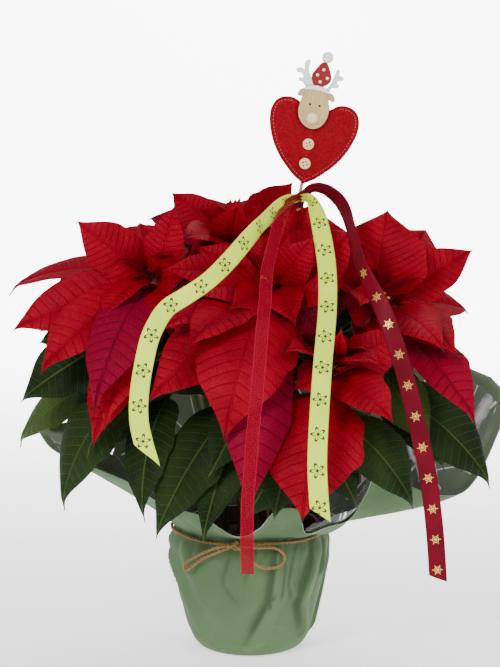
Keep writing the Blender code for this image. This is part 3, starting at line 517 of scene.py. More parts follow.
# %% The bracts
BRACTS = {
    "front": ((72, -95, 291), (20, -34), (
        (30, (43, -175, 156), 88, 26, (-0.1, -1, 0.45), -8),
        (24, (121, -170, 242), 46, 12, (0.1, -1, 0.9), 8),
        (20, (29, -150, 301), 36, 10, (-0.2, -0.8, 0.8), 8),
        (20, (112, -140, 287), 36, 12, (0.2, -0.6, 1), 8),
        (26, (108, -100, 337), 46, 8, (0.2, -1, 0.3), 12),
        (12, (70, -138, 318), 20, 5, (0, -1, 0.6), 14),
        (12, (100, -130, 300), 20, 5, None, 14),
        (12, (46, -118, 318), 18, 5, None, 14),
        (26, (140, -80, 272), 44, 12, None, 6),
        (24, (78, -35, 300), 36, 8, None, 10),
    )),
    "middle": ((18, -45, 360), (4, -16), (
        (28, (-23, -160, 220), 86, 34, (-0.1, -1, 0.5), -8),
        (31, (0, -165, 153), 60, 26, (-0.05, -1, 0.35), -6),
        (31, (-91, -122, 249), 60, 20, (-0.1, -1, 0.5), -6),
        (24, (-80, -60, 360), 42, 12, (-0.1, -0.8, 0.9), 8),
        (27, (-68, -88, 342), 42, 12, (-0.2, -0.8, 0.8), 8),
        (30, (-78, -110, 312), 44, 14, (-0.3, -0.8, 0.8), 6),
        (28, (-63, -130, 290), 48, 16, (-0.3, -0.9, 0.7), 6),
        (30, (66, -60, 300), 46, 16, (0.2, -1, 0.5), 0),
        (22, (-50, -30, 378), 40, 8, (-0.2, -0.9, 0.6), 10),
        (20, (49, 0, 417), 38, 6, (-0.1, -1, 0.2), 12),
        (22, (56, -80, 392), 38, 6, (0.2, -1, 0.3), 12),
        (26, (76, -88, 338), 42, 10, (0.3, -1, 0.5), 8),
        (24, (40, -112, 315), 36, 14, (0.2, -1, 0.3), 8),
        (12, (-10, -72, 380), 20, 4, None, 14),
        (12, (38, -76, 372), 18, 4, None, 14),
    )),
    "left": ((-92, -10, 366), (-30, -6), (
        (26, (-135, -130, 242), 54, 26, (-0.25, -1, 0.4), -6),
        (28, (-188, -90, 268), 56, 20, (-0.3, -1, 0.7), 6),
        (28, (-219, -40, 302), 52, 18, (-0.2, -1, 0.5), 6),
        (22, (-159, -20, 402), 48, 8, (-0.2, -1, 0.3), 8),
        (22, (-232, 30, 329), 42, 20, (-0.2, -0.4, 1), 6),
        (30, (-127, -122, 224), 48, 20, (-0.2, -1, 0.4), -6),
        (31, (-139, -110, 206), 50, 14, (-0.25, -1, 0.35), -4),
        (28, (-62, -96, 300), 46, 14, (0.1, -1, 0.5), -4),
        (29, (-38, -70, 282), 48, 14, (0.3, -1, 0.5), -4),
        (24, (-32, -40, 340), 42, 10, (0.2, -0.9, 0.7), 6),
        (26, (-142, -62, 314), 36, 14, (-0.6, -0.6, 0.8), 8),
        (14, (-105, 40, 397), 26, 4, (0, -1, 0.1), 12),
        (12, (-122, -45, 368), 20, 4, None, 14),
        (12, (-70, -46, 372), 20, 4, None, 14),
        (28, (-140, 80, 330), 50, 14, None, 6),
        (26, (-72, 66, 362), 44, 10, None, 8),
        (24, (-190, 76, 332), 46, 16, None, 8),
    )),
    "right": ((126, -20, 342), (34, -8), (
        (26, (183, -90, 286), 60, 16, (0.4, -0.9, 0.8), -6),
        (32, (199, -110, 227), 54, 18, (0.5, -1, 0.5), 10),
        (20, (168, 40, 391), 62, 8, (0, -1, 0.4), 8),
        (22, (186, 0, 402), 44, 6, (-0.2, -1, 0.2), 12),
        (26, (208, 20, 312), 44, 12, (0.3, -0.6, 0.9), 6),
        (30, (155, -112, 292), 50, 18, (0.2, -1, 0.5), -4),
        (31, (175, -64, 262), 44, 14, (0.6, -1, 0.3), 0),
        (24, (84, 4, 388), 44, 6, (0, -1, 0.4), 8),
        (28, (96, -80, 330), 42, 12, (-0.2, -0.9, 0.6), 4),
        (28, (72, 20, 330), 44, 12, None, 6),
        (12, (112, -52, 362), 20, 4, None, 14),
        (12, (152, -48, 358), 20, 4, None, 14),
        (28, (165, 88, 330), 50, 14, None, 6),
    )),
    "top": ((-17, 40, 392), (-8, 16), (
        (20, (-73, 60, 428), 38, 5, (-0.1, -1, 0.3), 10),
        (24, (-100, 70, 398), 42, 10, (-0.2, -0.7, 0.8), 8),
        (18, (2, 66, 434), 38, 5, (0, -1, 0.3), 10),
        (22, (38, 54, 438), 42, 6, (0.2, -1, 0.3), 10),
        (26, (-64, -26, 384), 44, 12, (-0.2, -0.8, 0.8), 8),
        (24, (26, -18, 394), 38, 8, None, 10),
        (13, (-50, 14, 412), 24, 4, (-0.1, -1, 0.5), 14),
        (12, (-30, -2, 414), 20, 3, (0, -1, 0.5), 14),
        (12, (10, 14, 414), 22, 4, (0.1, -1, 0.5), 14),
        (28, (-60, 124, 384), 52, 16, None, 6),
        (28, (10, 132, 384), 52, 16, None, 6),
        (26, (52, 96, 392), 44, 12, None, 8),
        (28, (-30, -44, 352), 44, 14, (-0.1, -1, 0.5), 4),
    )),
    "back_right": ((70, 110, 345), (24, 34), (
        (28, (172, 150, 306), 54, 16, None, 6),
        (30, (132, 200, 284), 54, 18, None, 6),
        (30, (62, 212, 292), 56, 18, None, 6),
        (28, (2, 186, 318), 50, 14, None, 6),
        (24, (128, 84, 372), 46, 8, None, 8),
        (12, (92, 140, 364), 22, 5, None, 14),
        (12, (52, 136, 366), 22, 5, None, 14),
    )),
    "back_left": ((-80, 100, 340), (-24, 32), (
        (28, (-188, 128, 306), 54, 16, None, 6),
        (30, (-150, 184, 284), 54, 18, None, 6),
        (30, (-86, 206, 290), 56, 18, None, 6),
        (28, (-24, 176, 318), 50, 14, None, 6),
        (24, (-140, 64, 368), 44, 8, None, 8),
        (12, (-100, 134, 360), 22, 5, None, 14),
        (12, (-60, 132, 362), 22, 5, None, 14),
    )),
}
print("bracts:", sum(len(star[2]) for star in BRACTS.values()))

# %% The leaves
LEAVES = {
    "left": (
        (60, (-212, -40, 236), 62, 22, (-0.3, -1, 0.4), 4),
        (100, (-172, -62, 139), 64, 40, (-0.4, -0.7, 0.7), -4),
        (70, (-152, -46, 246), 42, 16, (-0.4, -1, 0.4), 4),
        (104, (-205, 30, 146), 46, 34, (-0.3, -0.8, 0.8), 0),
        (88, (-146, -92, 196), 38, 20, (-0.3, -0.8, 0.8), 4),
        (120, (-94, -112, 142), 48, 30, (-0.5, -0.9, 0.5), 0),
        (78, (-146, -66, 206), 28, 14, (-0.5, -1, 0.2), 6),
    ),
    "middle": (
        (110, (-86, -102, 122), 54, 40, (-0.3, -1, 0.3), 0),
        (98, (-37, -122, 184), 46, 20, (0.1, -1, 0.3), 0),
        (124, (-46, -130, 132), 42, 26, (-0.3, -1, 0.4), 0),
        (70, (74, -74, 250), 44, 16, (0.3, -1, 0.4), 0),
        (80, (-84, -84, 250), 44, 16, (-0.3, -1, 0.4), 0),
        (116, (-10, -112, 156), 44, 22, (0, -1, 0.3), 0),
    ),
    "front": (
        (64, (144, -124, 156), 52, 34, (0.1, -0.9, 0.8), 0),
        (84, (94, -138, 160), 44, 28, (0.1, -1, 0.4), 0),
        (96, (20, -124, 146), 44, 26, (-0.1, -1, 0.3), 0),
    ),
    "right": (
        (96, (221, -60, 160), 62, 36, (0.1, -0.9, 0.9), 0),
        (84, (178, -60, 176), 48, 26, (0.3, -1, 0.5), 0),
        (64, (160, -96, 204), 46, 16, (0.1, -1, 0.4), 4),
    ),
    "back_right": (
        (60, (150, 160, 262), 58, 18, None, 0),
        (64, (40, 190, 268), 58, 18, None, 0),
        (56, (128, 36, 282), 44, 14, (0.3, -0.8, 0.8), 0),
        (70, (60, 24, 258), 44, 14, (0, -1, 0.6), 0),
    ),
    "back_left": (
        (60, (-170, 140, 262), 58, 18, None, 0),
        (64, (-70, 190, 262), 58, 18, None, 0),
        (56, (-140, 40, 280), 44, 14, (-0.3, -0.8, 0.8), 0),
        (70, (-70, 24, 256), 44, 14, (0, -1, 0.6), 0),
    ),
    "top": (
        (60, (-76, 0, 300), 44, 14, (-0.2, -1, 0.5), 0),
        (66, (56, 10, 280), 44, 14, (0.2, -1, 0.5), 0),
        (84, (-20, -40, 260), 44, 14, (0, -1, 0.4), 0),
    ),
}
print("leaves:", sum(len(rows) for rows in LEAVES.values()))

# %% Sizes that the blades and the stems share
BRACT_PETIOLE = 0.14
LEAF_PETIOLE = 0.24
PETIOLE_HALF = 1.7
CUTS = (0.14, 0.34, 0.56, 0.79, 1.0)
NARROW_CUTS = (0.16, 0.4, 0.7, 1.0)
WIDEST = 0.37
WAVE = 0.035
NARROW = 50
SINK = 1.9
POT_HEIGHT = 116.0
SOIL_DEPTH = 15.0
SOIL_TOP = POT_HEIGHT - SOIL_DEPTH
STEM_ROOT_R = 4.2
STEM_TIP_R = 2.8
HUB_R = 3.6
HUB_LENGTH = 34.0
print("top of the soil:", round(SOIL_TOP), "mm up")

# %% [markdown]
# A stem rises straight from the soil and bends out to its star on one curve, because each branch
# grows towards free light.

# %% Stems


class Stem:
    """A leafy stem, upright in the soil, that bends out to the centre of its bloom."""

    def __init__(self, name, top, foot):
        self.name = name
        self.foot = Vector((*foot, SOIL_TOP - 32))
        self.top = Vector(top)
        start = Vector((*foot, SOIL_TOP + 6))
        rise = self.top.z - start.z
        low = start + UP * rise * 0.4
        high = self.top.lerp(start, 0.25)
        high.z = self.top.z - 0.3 * rise
        bend = [cubic(start, low, high, self.top, step / 24) for step in range(25)]
        self.path = [self.foot, *bend]

    def below(self, distance):
        """The point of the stem's middle at a distance down from its top."""
        left = distance
        for upper, lower in zip(self.path[::-1], self.path[-2::-1]):
            span = (lower - upper).length
            if left <= span:
                return upper.lerp(lower, left / span)
            left -= span
        return self.foot.copy()

    def stretch(self, start, end, steps):
        """Points down the stem from one distance below its top to another."""
        return [self.below(start + (end - start) * step / steps) for step in range(steps + 1)]

    def length(self):
        return sum((b - a).length for a, b in zip(self.path, self.path[1:]))

    def rise(self):
        """The direction in which the stem's top grows."""
        return (self.top - self.below(5)).normalized()


stems = {name: Stem(name, top, foot) for name, (top, foot, _) in BRACTS.items()}
print("stems:", {name: round(stem.length()) for name, stem in stems.items()})

# %% [markdown]
# A blade's midrib is a cubic curve that arches towards the side its face looks to. Its outline
# widens fast from the stalk and narrows slowly to the tip. The two halves fold a little about the
# midrib and the edge waves. The coarse grid is the solid's, and it serves here to find room.

# %% Blades


class Blade:
    """A leaf or a bract, from its seat on the stem to its tip."""

    def __init__(self, stem, row, petiole):
        seat, tip, self.width, self.arch, face, self.fold = row
        middle = stem.below(seat)
        self.tip = Vector(tip)
        out = self.tip - middle
        rise = (stem.below(seat - 3) - stem.below(seat + 3)).normalized()
        self.root = middle + (out - out.dot(rise) * rise).normalized() * SINK
        self.petiole = petiole
        out.z = 0
        self.face = Vector(face) if face else out.normalized() * 0.8 + UP
        self.wave_start = seat * 0.7 + self.width * 0.31

    def bent(self, lift, swing):
        """Turns the tip about the root: lift raises it and swing moves it round the vertical."""
        out = self.tip - self.root
        level = out.cross(UP).normalized()
        turn = Matrix.Rotation(math.radians(swing), 3, "Z")
        self.tip = self.root + turn @ (Matrix.Rotation(math.radians(lift), 3, level) @ out)
        self.face = turn @ (Matrix.Rotation(math.radians(lift), 3, level) @ self.face)

    def spine(self):
        """The four control points of the midrib's curve."""
        chord = self.tip - self.root
        across = chord.normalized()
        up = (self.face - self.face.dot(across) * across).normalized() * self.arch
        return (self.root, self.root + chord * 0.3 + up * 1.4, self.root + chord * 0.7 + up * 1.2,
                self.tip)

    def half_width(self, t):
        if t <= self.petiole:
            return PETIOLE_HALF * t / self.petiole
        u = (t - self.petiole) / (1 - self.petiole)
        shape = (u / WIDEST) ** 0.7 * (max(0.0, 1 - u) / (1 - WIDEST)) ** 1.16
        return max(self.width / 2 * shape, PETIOLE_HALF * (1 - u))

    def wave(self, u, v):
        """How high the waving edge lifts a point: u runs from the petiole's end to the tip."""
        wave = WAVE * self.width * v * v * math.sin(10 * u + self.wave_start + (2 if v > 0 else 0))
        return wave * (1 - u) * min(1, 4 * u)

    def point(self, t, v):
        """A point on the blade's middle surface: t runs from root to tip, v from -1 to 1 across."""
        spine = self.spine()
        along = cubic_slope(*spine, t).normalized()
        normal = (self.face - self.face.dot(along) * along).normalized()
        side = along.cross(normal)
        half = self.half_width(t) * v
        angle = math.radians(self.fold)
        u = max(0.0, (t - self.petiole) / (1 - self.petiole))
        height = abs(half) * math.sin(angle) + self.wave(u, v)
        return cubic(*spine, t) + side * half * math.cos(angle) + normal * height

    def rows(self):
        cuts = NARROW_CUTS if self.width <= NARROW else CUTS
        return [0.0, self.petiole, *(self.petiole + (1 - self.petiole) * cut for cut in cuts)]

    def columns(self):
        return 3 if self.width <= NARROW else 5

    def grid(self):
        last = self.columns() - 1
        return [[self.point(t, 2 * c / last - 1) for c in range(last + 1)] for t in self.rows()]


# %% [markdown]
# Blades that grow past each other bend out of each other's way. Each one in its turn is turned
# about its seat by the smallest lift and swing at which it crosses nothing that is there already.
# Search trees of triangles find the crossings fast. The rule is the solids' own, so that every
# fine blade lies in its solid one's place.

# %% Search trees of sheets and tubes
CLEARANCE = 2.0


def thick_tree(grid, half):
    """A search tree of both faces of a thick sheet, from a grid of points by row and column.

    Each cell is split along both diagonals, so either way of splitting the solid is covered."""
    rows, columns = len(grid), len(grid[0])
    points, faces = [], []
    for sign in (-1, 1):
        base = len(points)
        for row in range(rows):
            for column in range(columns):
                before, after = grid[max(row - 1, 0)][column], grid[min(row + 1, rows - 1)][column]
                left, right = grid[row][max(column - 1, 0)], grid[row][min(column + 1, columns - 1)]
                normal = (after - before).cross(right - left)
                normal = normal.normalized() if normal.length > 1e-6 else Vector((0, 0, 0))
                points.append(grid[row][column] + normal * half * sign)
        for row in range(rows - 1):
            for column in range(columns - 1):
                a = base + row * columns + column
                b, c, d = a + 1, a + columns + 1, a + columns
                faces += [(a, b, c), (a, c, d), (a, b, d), (b, c, d)]
    return BVHTree.FromPolygons(points, faces)


def tube_grid(points, radius):
    """Points round a tube, one row for each point of its path."""
    grid = []
    for row, point in enumerate(points):
        along = (points[min(row + 1, len(points) - 1)] - points[max(row - 1, 0)]).normalized()
        first = along.orthogonal().normalized() * radius
        turns = [Matrix.Rotation(math.radians(60 * k), 3, along) @ first for k in range(7)]
        grid.append([point + turn for turn in turns])
    return grid


# %% What the blades must clear


def first_obstacles(stems):
    """What the blades must clear: the wrap, the film, the pick, the ribbons and the stems."""
    placed = []
    for film in (False, True):
        grid = [[wrap_point(c, r, film) for c in range(len(RIM) + 1)] for r in range(3, WRAP_ROWS)]
        placed.append(("wrap", thick_tree(grid, CLEARANCE / 2)))
    for path in RIBBONS.values():
        placed.append(("ribbon", thick_tree(ribbon_grid(path), CLEARANCE / 2)))
    stick = [STICK_FOOT.lerp(STICK_BEND, step / 6) for step in range(7)]
    placed.append(("stick", thick_tree(tube_grid([*stick, STICK_TOP], 3), 0.1)))
    placed.append(("knot", thick_tree(tube_grid([KNOT_LOW, KNOT_TOP], KNOT_R + 1), 0.1)))
    heart = [[on_heart(x, z, y) for x in (-34, 0, 34)] for z in (4, 60) for y in (-9, 6)]
    placed.append(("heart", thick_tree(heart, 0.1)))
    for stem in stems:
        shaft = stem.stretch(HUB_LENGTH, stem.length() - 20, 8)
        placed.append(("stem_" + stem.name, thick_tree(tube_grid(shaft, STEM_ROOT_R + 0.6), 0.1)))
        hub = stem.stretch(0, HUB_LENGTH - 1, 2)
        placed.append(("bracts_" + stem.name, thick_tree(tube_grid(hub, HUB_R + 0.8), 0.1)))
        flowers = [stem.top + stem.rise() * height for height in (0.5, 4, 9)]
        placed.append(("flowers", thick_tree(tube_grid(flowers, 6.5), 0.1)))
    return placed


# %% Bend the blades clear of each other
OUTER = 3


def effort(bend):
    """How large a bend is. Of two like ones, the one that lifts the blade is the smaller."""
    lift, swing = bend
    return abs(lift) + 0.8 * abs(swing) + (0.5 if lift < 0 else 0), bend


BENDS = sorted(product(range(-24, 29, 4), range(-30, 31, 5)), key=effort)


def room_for(owner, blade, placed):
    """The blade's search trees, whole and without its seat, or None where it crosses something."""
    grid = blade.grid()
    whole = thick_tree(grid, CLEARANCE / 2)
    outer = thick_tree(grid[OUTER:], CLEARANCE / 2)
    if any(outer.overlap(part) if other == owner else whole.overlap(tree)
           for other, tree, part in placed):
        return None
    return whole, outer


def settle(blades, placed, keep_all=True):
    """Bends each (owner, blade) clear of all that is placed, and returns those that stay."""
    moved, staying = [], []
    for owner, blade in blades:
        tip, face = blade.tip.copy(), blade.face.copy()
        for lift, swing in BENDS:
            blade.tip, blade.face = tip.copy(), face.copy()
            blade.bent(lift, swing)
            trees = room_for(owner, blade, placed)
            if trees:
                break
        else:
            if not keep_all:
                continue
            lift = swing = 0
            blade.tip, blade.face = tip, face
            grid = blade.grid()
            trees = [thick_tree(part, CLEARANCE / 2) for part in (grid, grid[OUTER:])]
        if lift or swing:
            moved.append(owner)
        placed.append((owner, *trees))
        staying.append((owner, blade))
    print("bent clear:", len(moved), "of", len(blades))
    return staying


# %% The blades of the solids


def blades_of(kind, table, petiole):
    """The blades of a table that lists each star's rows, with the solids that own them."""
    return [(kind + name, Blade(stems[name], row, petiole))
            for name, rows in table.items() for row in rows]


bracts = blades_of("bracts_", {name: BRACTS[name][2] for name in stems}, BRACT_PETIOLE)
leaves = blades_of("stem_", {name: LEAVES[name] for name in stems}, LEAF_PETIOLE)
placed = [(owner, tree, tree) for owner, tree in first_obstacles(stems.values())]
settle(bracts + leaves, placed)
print("blades in place:", len(bracts) + len(leaves))

# %% [markdown]
# A fine blade is one grid rolled round like a flattened tube: half its columns make the upper side
# and half the underside, so the stalk is round, the rib stands out below and the edge is thin. Side
# veins leave the midrib at regular distances and sink into the upper side, and the skin between two
# of them swells a little. Four attributes go with each point: how many veins from the stalk it
# lies, how many millimetres from the rib, how far along the blade, and the blade's own tone.

# %% One row of a fine blade
ROW_STEP = 1.8
SKIN = 0.32
RIPPLE = 0.018
RIB = {"bracts": 1.25, "stem": 1.6}
VEIN_PAIRS = {"bracts": 14, "stem": 16}
QUILT = 0.5
CUSHION = 1.1
TIP_CURL = 0.06
FULLNESS = {"bracts": 0.66, "stem": 0.76}


class Row:
    """What all points in one row of a fine blade share."""

    def __init__(self, blade, t, kind, length):
        spine = blade.spine()
        along = cubic_slope(*spine, t).normalized()
        self.centre = cubic(*spine, t)
        self.normal = (blade.face - blade.face.dot(along) * along).normalized()
        self.side = along.cross(self.normal)
        self.u = (t - blade.petiole) / (1 - blade.petiole)
        self.along = self.u if self.u > 0 else t / blade.petiole - 1
        self.rib = RIB[kind] * min(1.0, blade.width / 40) * (1 - 0.75 * max(0.0, self.u))
        self.spread = rise_to(self.u, -0.02, 0.07)
        self.half = self.rib
        self.lobes = (0.0, 0.0)
        if self.u > 0:
            share = min(1.0, blade.half_width(t) / (blade.width / 2))
            drawn = FULLNESS[kind] + (1.5 - FULLNESS[kind]) * rise_to(self.u, 0.5, 1.0)
            ripple = 1 + RIPPLE * math.sin(23 * self.u + 5 * blade.wave_start)
            full = blade.width / 2 * share ** drawn
            self.half = max(full * ripple, 0.35 * self.rib * (1 - self.u))
            first = 0.36 + 0.05 * math.sin(3 * blade.wave_start)
            second = 0.52 + 0.06 * math.sin(5 * blade.wave_start)
            size = 0.11 * max(0.0, math.sin(2 * blade.wave_start))
            self.lobes = (size * tooth(self.u, first), 0.08 * tooth(self.u, second))
        self.distance = max(0.0, self.u) * length
        self.half_length = length / 2
        self.spacing = length / VEIN_PAIRS[kind]

    def reach(self, v):
        """The distance from the midrib to a point v across, with the lobe of its side."""
        return self.half * v * (1 + self.lobes[0 if v > 0 else 1] * rise_to(abs(v), 0.3, 1.0))


def tooth(u, middle):
    """A lobe of the blade's edge: it grows slowly and drops fast past its point."""
    return rise_to(u, middle - 0.16, middle) * (1 - rise_to(u, middle, middle + 0.07))


def blade_rows(blade, kind):
    """The rows of a fine blade, close together at its seat and even along it."""
    length = (blade.tip - blade.root).length * (1 - blade.petiole) * 1.06
    count = max(12, round(length / ROW_STEP))
    stalk = [0.0, 0.004, 0.3 * blade.petiole, 0.6 * blade.petiole, 0.85 * blade.petiole]
    steps = [blade.petiole + (1 - blade.petiole) * step / count for step in range(count + 1)]
    return [Row(blade, t, kind, length) for t in [*stalk, *steps]]


# %% One point of a fine blade


def veins_away(row, x):
    """How many side veins from the stalk a point lies that is x millimetres off the midrib."""
    return (row.distance - 0.35 * x - 0.006 * x * x) / row.spacing


def blade_point(blade, row, v, upper, fold, at_end):
    """A point v across a row, from -1 to 1, on the upper side or on the underside."""
    if at_end:
        curl = TIP_CURL * row.half_length if row.u > 0.5 else 0.0
        return row.centre - row.normal * curl
    x = abs(row.reach(v))
    height = (math.sqrt(x * x + 4) - 2) * math.sin(fold) * row.spread
    u = max(0.0, row.u)
    height += blade.wave(u, v)
    body = rise_to(u, 0.0, 0.12) * (1 - rise_to(u, 0.8, 1.0)) * min(1.0, blade.width / 60)
    height += CUSHION * body * math.sin(math.pi * min(1.0, abs(v)))
    swell = 0.5 - 0.5 * math.cos(math.tau * veins_away(row, x))
    height += QUILT * body * swell * rise_to(abs(v), 0.02, 0.3) * (1 - rise_to(abs(v), 0.7, 1.0))
    height -= 0.5 * row.spread * math.exp(-((x / 1.6) ** 2))
    round_stalk = row.rib * math.sqrt(max(0.0, 1 - v * v)) * (1 - row.spread)
    flat = SKIN * math.sqrt(max(0.0, 1 - v**6)) * row.spread
    if upper:
        height += round_stalk + flat
    else:
        height -= round_stalk + flat + 1.5 * row.rib * math.exp(-((x / row.rib) ** 2)) * row.spread
    height -= TIP_CURL * row.half_length * rise_to(u, 0.82, 1.0) ** 2
    return row.centre + row.side * row.reach(v) * math.cos(fold) + row.normal * height


# %% A whole fine blade
BLADE_ATTRIBUTES = ("vein", "rib_mm", "along", "tone")


def add_blade(bm, blade, kind, tone):
    """Adds a fine blade to the mesh: material 0 on its upper side and 1 on its underside."""
    rows = blade_rows(blade, kind)
    last = len(rows) - 1
    half = 12 if blade.width > 50 else 8 if blade.width > 26 else 6
    fold = math.radians(blade.fold)
    across = []
    for column in range(2 * half + 1):
        w = 1 - 2 * column / half if column <= half else 2 * (column - half) / half - 1
        across.append(math.copysign(abs(w) ** 1.5, w))

    def place(row, column):
        return blade_point(blade, rows[row], across[column], column <= half, fold, row in (0, last))

    where = mapped_grid(bm, last, 2 * half, place)
    vein, rib_mm, along, tones = (bm.verts.layers.float[name] for name in BLADE_ATTRIBUTES)
    for vert, (row, column) in where.items():
        x = abs(rows[row].reach(across[column]))
        vert[vein] = veins_away(rows[row], x)
        vert[rib_mm] = x
        vert[along] = rows[row].along
        vert[tones] = tone
    for face in {face for vert in where for face in vert.link_faces}:
        face.material_index = 0 if max(where[vert][1] for vert in face.verts) <= half else 1
        face.smooth = True
    for edge in {edge for vert in where for edge in vert.link_edges}:
        ends = [where[vert] for vert in edge.verts]
        if ends[0][1] == ends[1][1] and ends[0][1] % half == 0 and rows[ends[0][0]].u > 0.03:
            edge.smooth = False
    close_seams(bm, where)


def blade_mesh():
    """An empty mesh with the blades' attributes."""
    bm = bmesh.new()
    for name in BLADE_ATTRIBUTES:
        bm.verts.layers.float.new(name)
    return bm


# %% [markdown]
# The look of a bract or leaf is mostly its veins. One node group draws them for all four sides of
# the blades: thin side veins where the vein number is whole, the midrib, and a fine net between
# them from the borders of Voronoi cells. It gives one mask for colour and one height for relief.

# %% Node group: veins


def group_tree(name, inputs, outputs):
    """A shader node group with named number inputs and outputs, and its two end nodes."""
    group = bpy.data.node_groups.new(name, "ShaderNodeTree")
    for socket, default in inputs.items():
        made = group.interface.new_socket(socket, in_out="INPUT", socket_type="NodeSocketFloat")
        made.default_value = default
    for socket in outputs:
        group.interface.new_socket(socket, in_out="OUTPUT", socket_type="NodeSocketFloat")
    return group, group.nodes.new("NodeGroupInput"), group.nodes.new("NodeGroupOutput")


def placed_group(tree, group, **values):
    """Places a group in a material with its own values."""
    made = tree.nodes.new("ShaderNodeGroup")
    made.node_tree = group
    for key, value in values.items():
        made.inputs[key].default_value = value
    return made.outputs


veins, vein_in, vein_out = group_tree("blade_veins", {"Width": 0.1, "Net": 0.3}, ("Mask", "Height"))
to_vein = calc(veins, "PINGPONG", attribute(veins, "vein"), 0.5)
side_veins = ramp(veins, to_vein, 0.0, vein_in.outputs["Width"], 1.0, 0.0)
on_skin = times(veins, ramp(veins, attribute(veins, "along"), 0.0, 0.04),
                ramp(veins, attribute(veins, "along"), 0.9, 0.99, 1.0, 0.0))
side_veins = times(veins, side_veins, on_skin)
midrib = ramp(veins, attribute(veins, "rib_mm"), 0.3, 1.3, 1.0, 0.0)
mask = calc(veins, "MAXIMUM", side_veins, midrib)
net = times(veins, ramp(veins, borders(veins, 420.0), 0.0, 0.16, 1.0, 0.0), vein_in.outputs["Net"])
hollow = calc(veins, "SUBTRACT", 1.0, calc(veins, "MAXIMUM", times(veins, mask, 0.9), net))
wire(veins, vein_out, Mask=mask, Height=hollow)
print("vein group nodes:", len(veins.nodes))

# %% [markdown]
# A bract is a saturated red with a satin skin. Most are scarlet, and the few that hang in the shade
# of others get a deeper crimson with purple veins, which is painted shade: the tone attribute
# carries each one from the first to the second. The drawn-out tip dries to a dark thread. The
# underside is duller and pinker, and the stalk a fleshy red.

# %% Material: bracts
SCARLET = (0.305, 0.0001, 0.0118)
DEEP_RED = (0.225, 0.0001, 0.0086)
CRIMSON_AND_PAINTED_SHADE = (0.21, 0.0002, 0.0210)
BRACT_VEIN = (0.10, 0.0002, 0.004)
PURPLE_VEIN = (0.04, 0.0008, 0.009)
DRY_TIP = (0.022, 0.010, 0.009)


def bract_material(name, light, shade, roughness):
    made, tree, shader = finish(name, light, roughness, Specular_IOR_Level=0.08)
    lines = placed_group(tree, veins, Width=0.08, Net=0.35)
    tone = attribute(tree, "tone")
    cloud = ramp(tree, noise(tree, 28.0, 2.0), 0.3, 0.75)
    colour = blend(tree, cloud, light, shade)
    # Painted shade: a high tone turns a bract crimson where it hangs in the shade of others, a low
    # one is a small chance difference.
    colour = blend(tree, ramp(tree, tone, 0.1, 1.0), colour, CRIMSON_AND_PAINTED_SHADE)
    strength = times(tree, ramp(tree, tone, 0.0, 1.0, 0.2, 0.6),
                     ramp(tree, noise(tree, 36.0, 1.0), 0.3, 0.7, 0.6, 1.3))
    colour = blend(tree, times(tree, strength, lines["Mask"]),
                   colour, blend(tree, tone, BRACT_VEIN, PURPLE_VEIN))
    colour = blend(tree, ramp(tree, attribute(tree, "along"), 0.90, 0.985), colour, DRY_TIP)
    height = calc(tree, "ADD", lines["Height"], times(tree, noise(tree, 900.0, 2.0), 0.12))
    gloss = ramp(tree, noise(tree, 60.0), 0.2, 0.8, roughness - 0.06, roughness + 0.08)
    wire(tree, shader, Base_Color=colour, Roughness=gloss, Normal=bumped(tree, height, 0.0008))
    return made


bract_upper = bract_material("bract_upper", SCARLET, DEEP_RED, 0.52)
bract_under = bract_material("bract_under", (0.24, 0.0002, 0.013), (0.18, 0.0002, 0.009), 0.75)
print("bract materials:", bract_upper.name, bract_under.name)

# %% [markdown]
# The leaves are a dark, slightly glossy green. Their veins are paler than the skin, the younger
# leaves are lighter and yellower, and the underside is a dull grey green. The stalks are flushed
# with red, as is the stem near the stars.

# %% Material: leaves and stems
LEAF_DARK = (0.0052, 0.0145, 0.0018)
LEAF_MID = (0.0108, 0.0275, 0.0033)
LEAF_YOUNG = (0.070, 0.115, 0.014)
LEAF_BRONZE = (0.070, 0.034, 0.008)
LEAF_VEIN = (0.060, 0.095, 0.024)
STALK = (0.12, 0.09, 0.02)


def leaf_material(name, dark, light, roughness, vein_share):
    made, tree, shader = finish(name, dark, roughness, Specular_IOR_Level=0.12)
    lines = placed_group(tree, veins, Width=0.06, Net=0.4)
    tone = attribute(tree, "tone")
    colour = blend(tree, ramp(tree, noise(tree, 22.0, 2.0), 0.3, 0.7), dark, light)
    colour = blend(tree, ramp(tree, tone, 0.2, 1.0), colour, LEAF_YOUNG)
    colour = blend(tree, ramp(tree, tone, -0.1, -1.0), colour, LEAF_BRONZE)
    colour = blend(tree, times(tree, lines["Mask"], vein_share), colour, LEAF_VEIN)
    colour = blend(tree, ramp(tree, attribute(tree, "along"), -0.25, 0.04), STALK, colour)
    height = calc(tree, "ADD", lines["Height"], times(tree, noise(tree, 700.0, 2.0), 0.1))
    gloss = ramp(tree, noise(tree, 45.0), 0.2, 0.8, roughness - 0.07, roughness + 0.1)
    wire(tree, shader, Base_Color=colour, Roughness=gloss, Normal=bumped(tree, height, 0.0007))
    return made


leaf_upper = leaf_material("leaf_upper", LEAF_DARK, LEAF_MID, 0.47, 0.7)
leaf_under = leaf_material("leaf_under", (0.036, 0.062, 0.022), (0.055, 0.090, 0.032), 0.62, 0.35)


def stem_material():
    made, tree, shader = finish("stem_skin", (0.09, 0.12, 0.03), 0.5, Specular_IOR_Level=0.4)
    height = node(tree, "SeparateXYZ", {"Vector": on_object(tree)}).outputs["Z"]
    green = blend(tree, ramp(tree, noise(tree, 90.0), 0.35, 0.7),
                  (0.07, 0.10, 0.025), (0.13, 0.14, 0.05))
    bark = blend(tree, ramp(tree, height, 0.12, 0.22), (0.16, 0.12, 0.07), green)
    colour = blend(tree, ramp(tree, height, 0.27, 0.36), bark, (0.22, 0.03, 0.02))
    wire(tree, shader, Base_Color=colour,
         Normal=bumped(tree, noise(tree, 320.0, 4.0), 0.0008, 0.6))
    return made


stem_skin = stem_material()
print("leaf materials:", leaf_upper.name, leaf_under.name, stem_skin.name)

